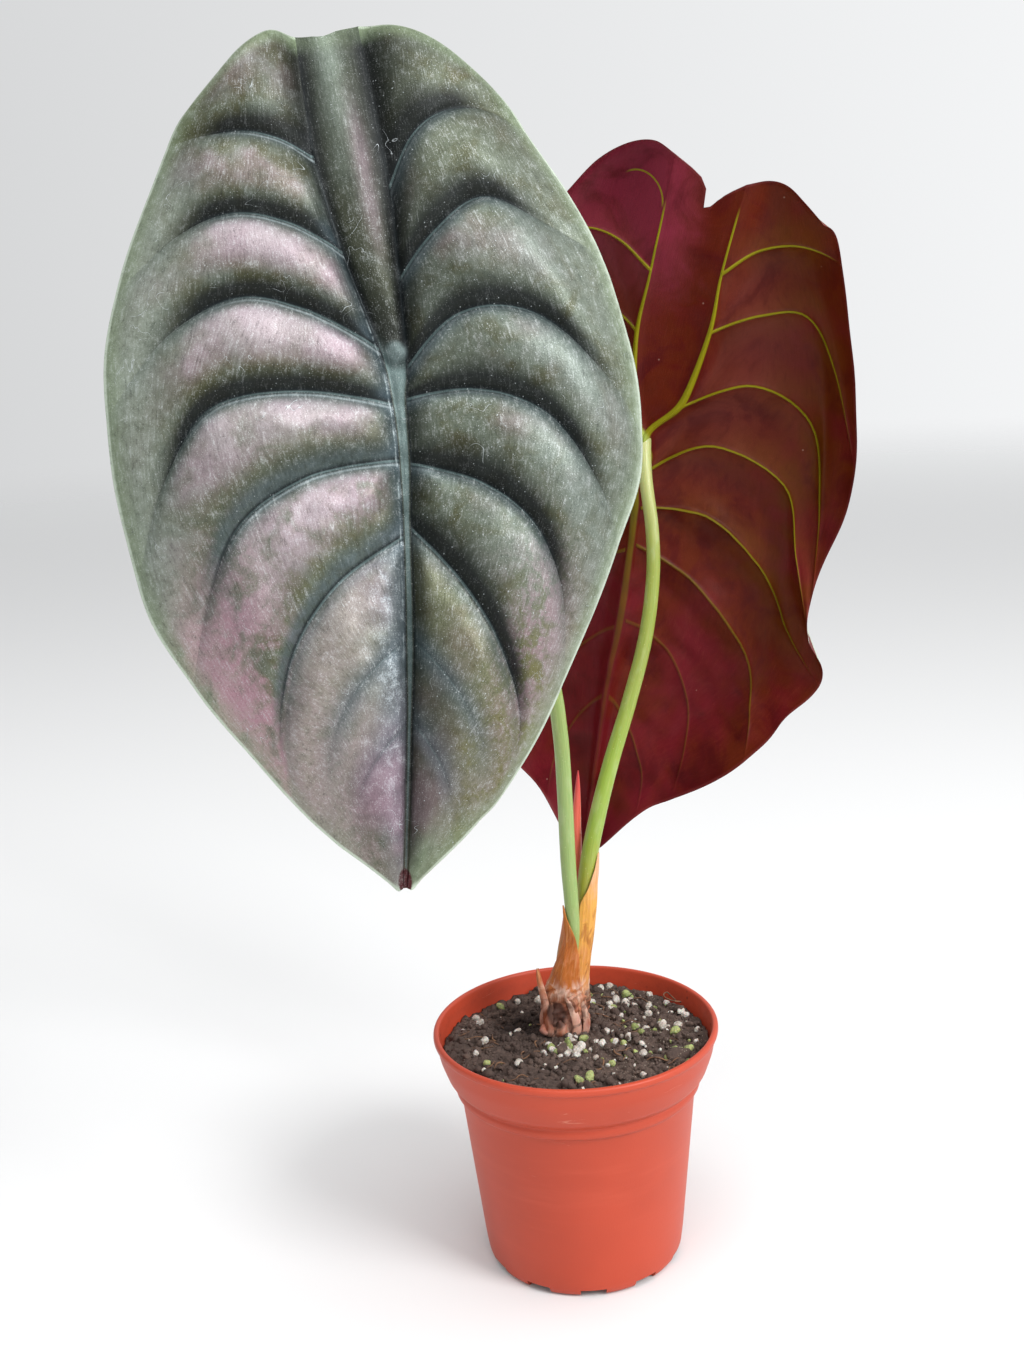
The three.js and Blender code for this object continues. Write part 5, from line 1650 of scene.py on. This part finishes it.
def peat_finish(name, dark, brown):
    """Matt soil: dark in broad damp areas, with brown crumbs, painted shadow in the hollow, pale powder and a
    few thin fibres.
    """
    paint = Paint(name)
    crumbs = paint.noise(paint.place(), 900.0, 4.0, 0.7)
    areas = paint.noise(paint.place(), 70.0, 3.0, 0.6)
    fibres = paint.noise(paint.place(), 380.0, 3.0, 0.6, 3.0)
    x, y, _ = paint.parts(paint.place())
    paint.start(crumbs.step(0.35, 0.7) * areas.step(0.3, 0.7), dark, brown)
    # Painted shadow in the hollow behind the stem.
    off_x, off_y = (x * 1000.0 - SOIL_SHADOW_AT[0]) / SOIL_SHADOW_SIZE[0], (y * 1000.0 - SOIL_SHADOW_AT[1]) / SOIL_SHADOW_SIZE[1]
    hollow_shadow = paint.length(paint.vector(off_x, off_y)).step(1.4, 0.4)
    paint.lay(hollow_shadow * 0.7, (0.12, 0.09, 0.085))
    powder = paint.specks(paint.place(), 1500.0, 0.35, 0.3) * (x * 1000.0).step(-12.0, 18.0)
    paint.lay(powder * 0.5, (0.66, 0.62, 0.56))
    thin = (fibres - 0.5).size().step(0.02, 0.004) * crumbs.step(0.5, 0.65)
    paint.lay(thin * 0.4, (0.45, 0.33, 0.24))
    return paint.finish(0.9 + 0.08 * crumbs, crumbs, 0.5, Specular_IOR_Level=0.25)


peat = peat_finish("moist_peat", (0.295, 0.245, 0.225), (0.43, 0.36, 0.325))
soil = new_piece("potting_mix", soil_points, soil_faces, [peat])
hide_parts("soil")

# %% [markdown]
# One lump serves for every crumb and grain: a ball of near-even faces, its points pushed in and out by
# smooth noise, then stretched, turned and set down where it lies. Crumbs are drawn all over the surface, and
# none is so large that it would reach into the pot's wall.

# %% Lumps
SOIL_REACH = 41.2


def ball(cuts):
    """An icosphere's points and triangles."""
    form = bmesh.new()
    bmesh.ops.create_icosphere(form, subdivisions=cuts, radius=1)
    points = np.array([list(v.co) for v in form.verts])
    triangles = np.array([[v.index for v in face.verts] for face in form.faces])
    form.free()
    return points, triangles


def lumps(places, sizes, stretch, cuts, rough, seed):
    """Closed lumps with their middles at places. stretch bounds how much longer one axis may be."""
    chance = np.random.default_rng(seed)
    unit, triangles = ball(cuts)
    solids = []
    for n, (place, size) in enumerate(zip(places, sizes)):
        bumpy = 1 + rough * rolling(unit, 1.6, seed + n, 6)[:, None]
        form = unit * bumpy * [1, chance.uniform(1, stretch), chance.uniform(0.7, 1)]
        turn = np.linalg.qr(chance.normal(size=(3, 3)))[0]
        turn *= np.sign(np.linalg.det(turn))
        solids.append((form @ turn.T * size + place, [triangles]))
    return join(solids)


def scattered(count, seed, inner, outer):
    """Places on the soil, evenly spread between two distances from the pot's axis, clear of the stem."""
    chance = np.random.default_rng(seed)
    reach = np.sqrt(chance.uniform(inner**2, outer**2, 3 * count))
    angle = chance.uniform(0, 2 * np.pi, 3 * count)
    x, y = reach * np.cos(angle), reach * np.sin(angle)
    clear = np.hypot(x - STEM_AT[0] - 1.3, y - STEM_AT[1]) > 9.4
    return x[clear][:count], y[clear][:count]


chance = np.random.default_rng(51)
x, y = scattered(1900, 52, 0, 40.3)
sizes = chance.gamma(1.8, 0.22, x.size) + 0.22
sizes = np.minimum(sizes, SOIL_REACH - np.hypot(x, y))
places = np.stack([x, y, crumbly(x, y) + 0.1 * sizes], -1)
crumb_points, crumb_faces = lumps(places, sizes, 1.9, 2, 0.16, 53)
new_piece("soil_crumbs", crumb_points, crumb_faces, [peat])

# %% [markdown]
# Perlite is popped volcanic glass: white, full of bubbles, a little glassy. In pots that stay damp, algae
# turn it green. The larger grains lie where the real ones do. Smaller ones are piled at the stem's foot and
# drawn over the rest of the surface, most of them on the right.

# %% The perlite
WHITE_GRAINS = [
    (-18, 34), (-10.8, 30.9), (-32, 22), (-31.7, -7.1), (-18.3, -14.9), (-7.6, -18.2), (-3.9, -28.1),
    (19.1, -26.8), (6.2, -4.3), (10.3, 4.8), (-0.4, -8.7), (20.5, -6.4), (28.3, 4.9), (24.9, 15.9),
    (36.5, 12), (17.6, 35), (13.5, 36.5), (26.5, 28), (31.5, 23.5), (6.5, 25.9), (16.8, -2), (22.6, 3.2),
    (15, 26), (4.4, -7.6), (-2, -1.7), (-0.4, -10.8), (-5.5, -12.2), (-7.6, -9.2), (-4.6, -7.2), (8, -5.6),
    (12.1, -4.8), (5.5, -14.2), (-1.2, -4), (-3.4, -10.2), (1.2, -7.2),
]
GREEN_GRAINS = [
    (-24, 31), (-28.2, -14.3), (-0.3, -28.9), (2.9, -26.4), (11.9, -4.2), (-2.6, -5.2), (22.7, -11.5),
    (27.4, -17.4), (31.2, -16.5), (34.4, -12.8), (19.3, 4.8), (19, 30.5), (13.2, 21.8), (30, -13.2),
    (21, 1.2), (14.6, -6.3), (-2.4, -6.8), (2.5, -9.4), (-6, -9.8),
]
LARGEST_GRAIN = 1.5


def perlite_finish(name, light, shade):
    """Popped glass: pale, with darker pits between its bubbles and a little peat on it."""
    paint = Paint(name)
    bubbles = paint.node("ShaderNodeTexVoronoi", inputs={"Vector": paint.place(), "Scale": 1500.0})
    clouds = paint.noise(paint.place(), 240.0, 3.0, 0.6)
    dust = paint.noise(paint.place(), 1300.0, 3.0, 0.7)
    paint.start(clouds.step(0.35, 0.65), light, shade)
    paint.lay(bubbles.step(0.35, 0.75) * 0.35, (0.45, 0.42, 0.36))
    paint.lay(dust.step(0.58, 0.68) * 0.5, (0.3, 0.24, 0.2))
    pits = bubbles * -1.0 + 1.0
    return paint.finish(0.6 + 0.2 * dust, pits, 0.25, Subsurface_Weight=0.15, Subsurface_Scale=0.001)


white_perlite = perlite_finish("white_perlite", (0.86, 0.84, 0.81), (0.7, 0.66, 0.62))
green_perlite = perlite_finish("algae_perlite", (0.66, 0.7, 0.44), (0.5, 0.55, 0.3))


def build_perlite(name, spots, count, seed, finish):
    """The grains of the table, a pile at the stem's foot, and count small ones, most of them on the right."""
    chance = np.random.default_rng(seed)
    x, y = scattered(8 * count, seed, 4, 39)
    keep = chance.uniform(size=x.size) < 0.1 + 0.7 * eased(-10, 22, x) * eased(-38, -10, y)
    pile = chance.normal((-2, -5.2), (4.2, 2.2), (count // 6, 2))
    small = np.stack([x[keep][:count], y[keep][:count]], -1)
    x, y = np.concatenate([spots, pile, small]).T
    large = chance.uniform(0.9, LARGEST_GRAIN, len(spots))
    sizes = np.concatenate([large, chance.gamma(2.2, 0.2, x.size - len(spots)) + 0.25])
    sizes = np.minimum(np.minimum(sizes, LARGEST_GRAIN), SOIL_REACH - np.hypot(x, y))
    places = np.stack([x, y, crumbly(x, y) + 0.35 * sizes], -1)
    points, faces = lumps(places, sizes, 1.35, 3, 0.13, seed + 1)
    new_piece(name, points, faces, [finish])


build_perlite("perlite_white", WHITE_GRAINS, 110, 61, white_perlite)
build_perlite("perlite_green", GREEN_GRAINS, 44, 71, green_perlite)

# %% [markdown]
# A few fine roots and peat fibres lie on the surface. One thin root makes a loop near the wall at the right.

# %% Roots and fibres
THREAD_REACH = 40
LOOP_AT, LOOP_RADIUS = (34, 21), 3.6


def thread(path, radii):
    """A thin closed tube through the points of path, kept inside the pot."""
    over = np.maximum(1, np.hypot(path[:, 0], path[:, 1]) / THREAD_REACH)[:, None]
    path = np.concatenate([path[:, :2] / over, path[:, 2:]], axis=1)
    return ring_solid(shoot(path, radii, 8, 48, square_to=(0.0, 0.0, 1.0))[0])


def fibre(at, heading, length, radius, seed):
    """A thin wavy thread that lies on the soil: its heading wanders by a drawn angle at each of its steps."""
    chance = np.random.default_rng(seed)
    share = np.linspace(0, 1, 9)
    bend = heading + np.cumsum(chance.normal(0, 0.35, share.size))
    x = at[0] + np.cumsum(np.cos(bend)) * length / share.size
    y = at[1] + np.cumsum(np.sin(bend)) * length / share.size
    lift = soil_height(x, y) + 0.7 + 0.8 * np.sin(np.pi * share) * chance.uniform(0.3, 1)
    radii = radius * np.sqrt(1 - 0.9 * np.abs(2 * share - 1) ** 3)
    return thread(np.stack([x, y, lift], -1), radii)


chance = np.random.default_rng(81)
fibre_x, fibre_y = scattered(46, 82, 6, 37)
threads = [
    fibre((px, py), chance.uniform(0, 6.28), chance.uniform(4, 13), chance.uniform(0.1, 0.26), 90 + n)
    for n, (px, py) in enumerate(zip(fibre_x, fibre_y))
]
turns = np.linspace(0.4, 5.6, 12)
loop_x, loop_y = LOOP_AT[0] + LOOP_RADIUS * np.cos(turns), LOOP_AT[1] + LOOP_RADIUS * np.sin(turns)
root_loop = np.stack([loop_x, loop_y, 72.6 + 2.2 * np.sin(turns / 2)], -1)
threads.append(thread(root_loop, 0.22 + 0 * turns))
fibre_points, fibre_faces = join(threads)

paint = Paint("root_skin")
mottle = paint.noise(paint.place(), 500.0, 3.0, 0.6)
paint.start(mottle.step(0.35, 0.65), (0.5, 0.36, 0.25), (0.3, 0.2, 0.15))
root_skin = paint.finish(0.75, mottle, 0.1)
new_piece("root_fibres", fibre_points, fibre_faces, [root_skin])

# %% [markdown]
# ## The stem
# Between the sheaths and the soil only a ring of the stem shows: brown, rough, with old leaf scars. The CAD
# stem is fine enough for that, and gets its bark as a finish.

# %% The stem's bark
paint = Paint("stem_bark")
x, y, z = paint.parts(paint.place())
rough = paint.noise(paint.place(), 420.0, 4.0, 0.7)
bands = paint.noise(paint.vector(x * 60.0, y * 60.0, z * 900.0), 1.0, 3.0, 0.6)
paint.start(rough.step(0.35, 0.65), (0.42, 0.27, 0.18), (0.26, 0.16, 0.11))
paint.lay(bands.step(0.5, 0.7) * 0.5, (0.62, 0.45, 0.33))
bark = paint.finish(0.8, rough + bands, 0.4)
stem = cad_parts["stem"]
stem.data.materials.clear()
stem.data.materials.append(bark)

# %% [markdown]
# ## The finished plant
# Both boxes are printed: the CAD one and that of the finer model. They should be nearly the same.

# %% Print both boxes
boxes = {"cad": [list(corner) for corner in cad_box], "visual": [list(corner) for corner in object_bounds()]}
for label, corners in boxes.items():
    print(label, "box in millimetres:", [round(1000 * x, 1) for corner in corners for x in corner])
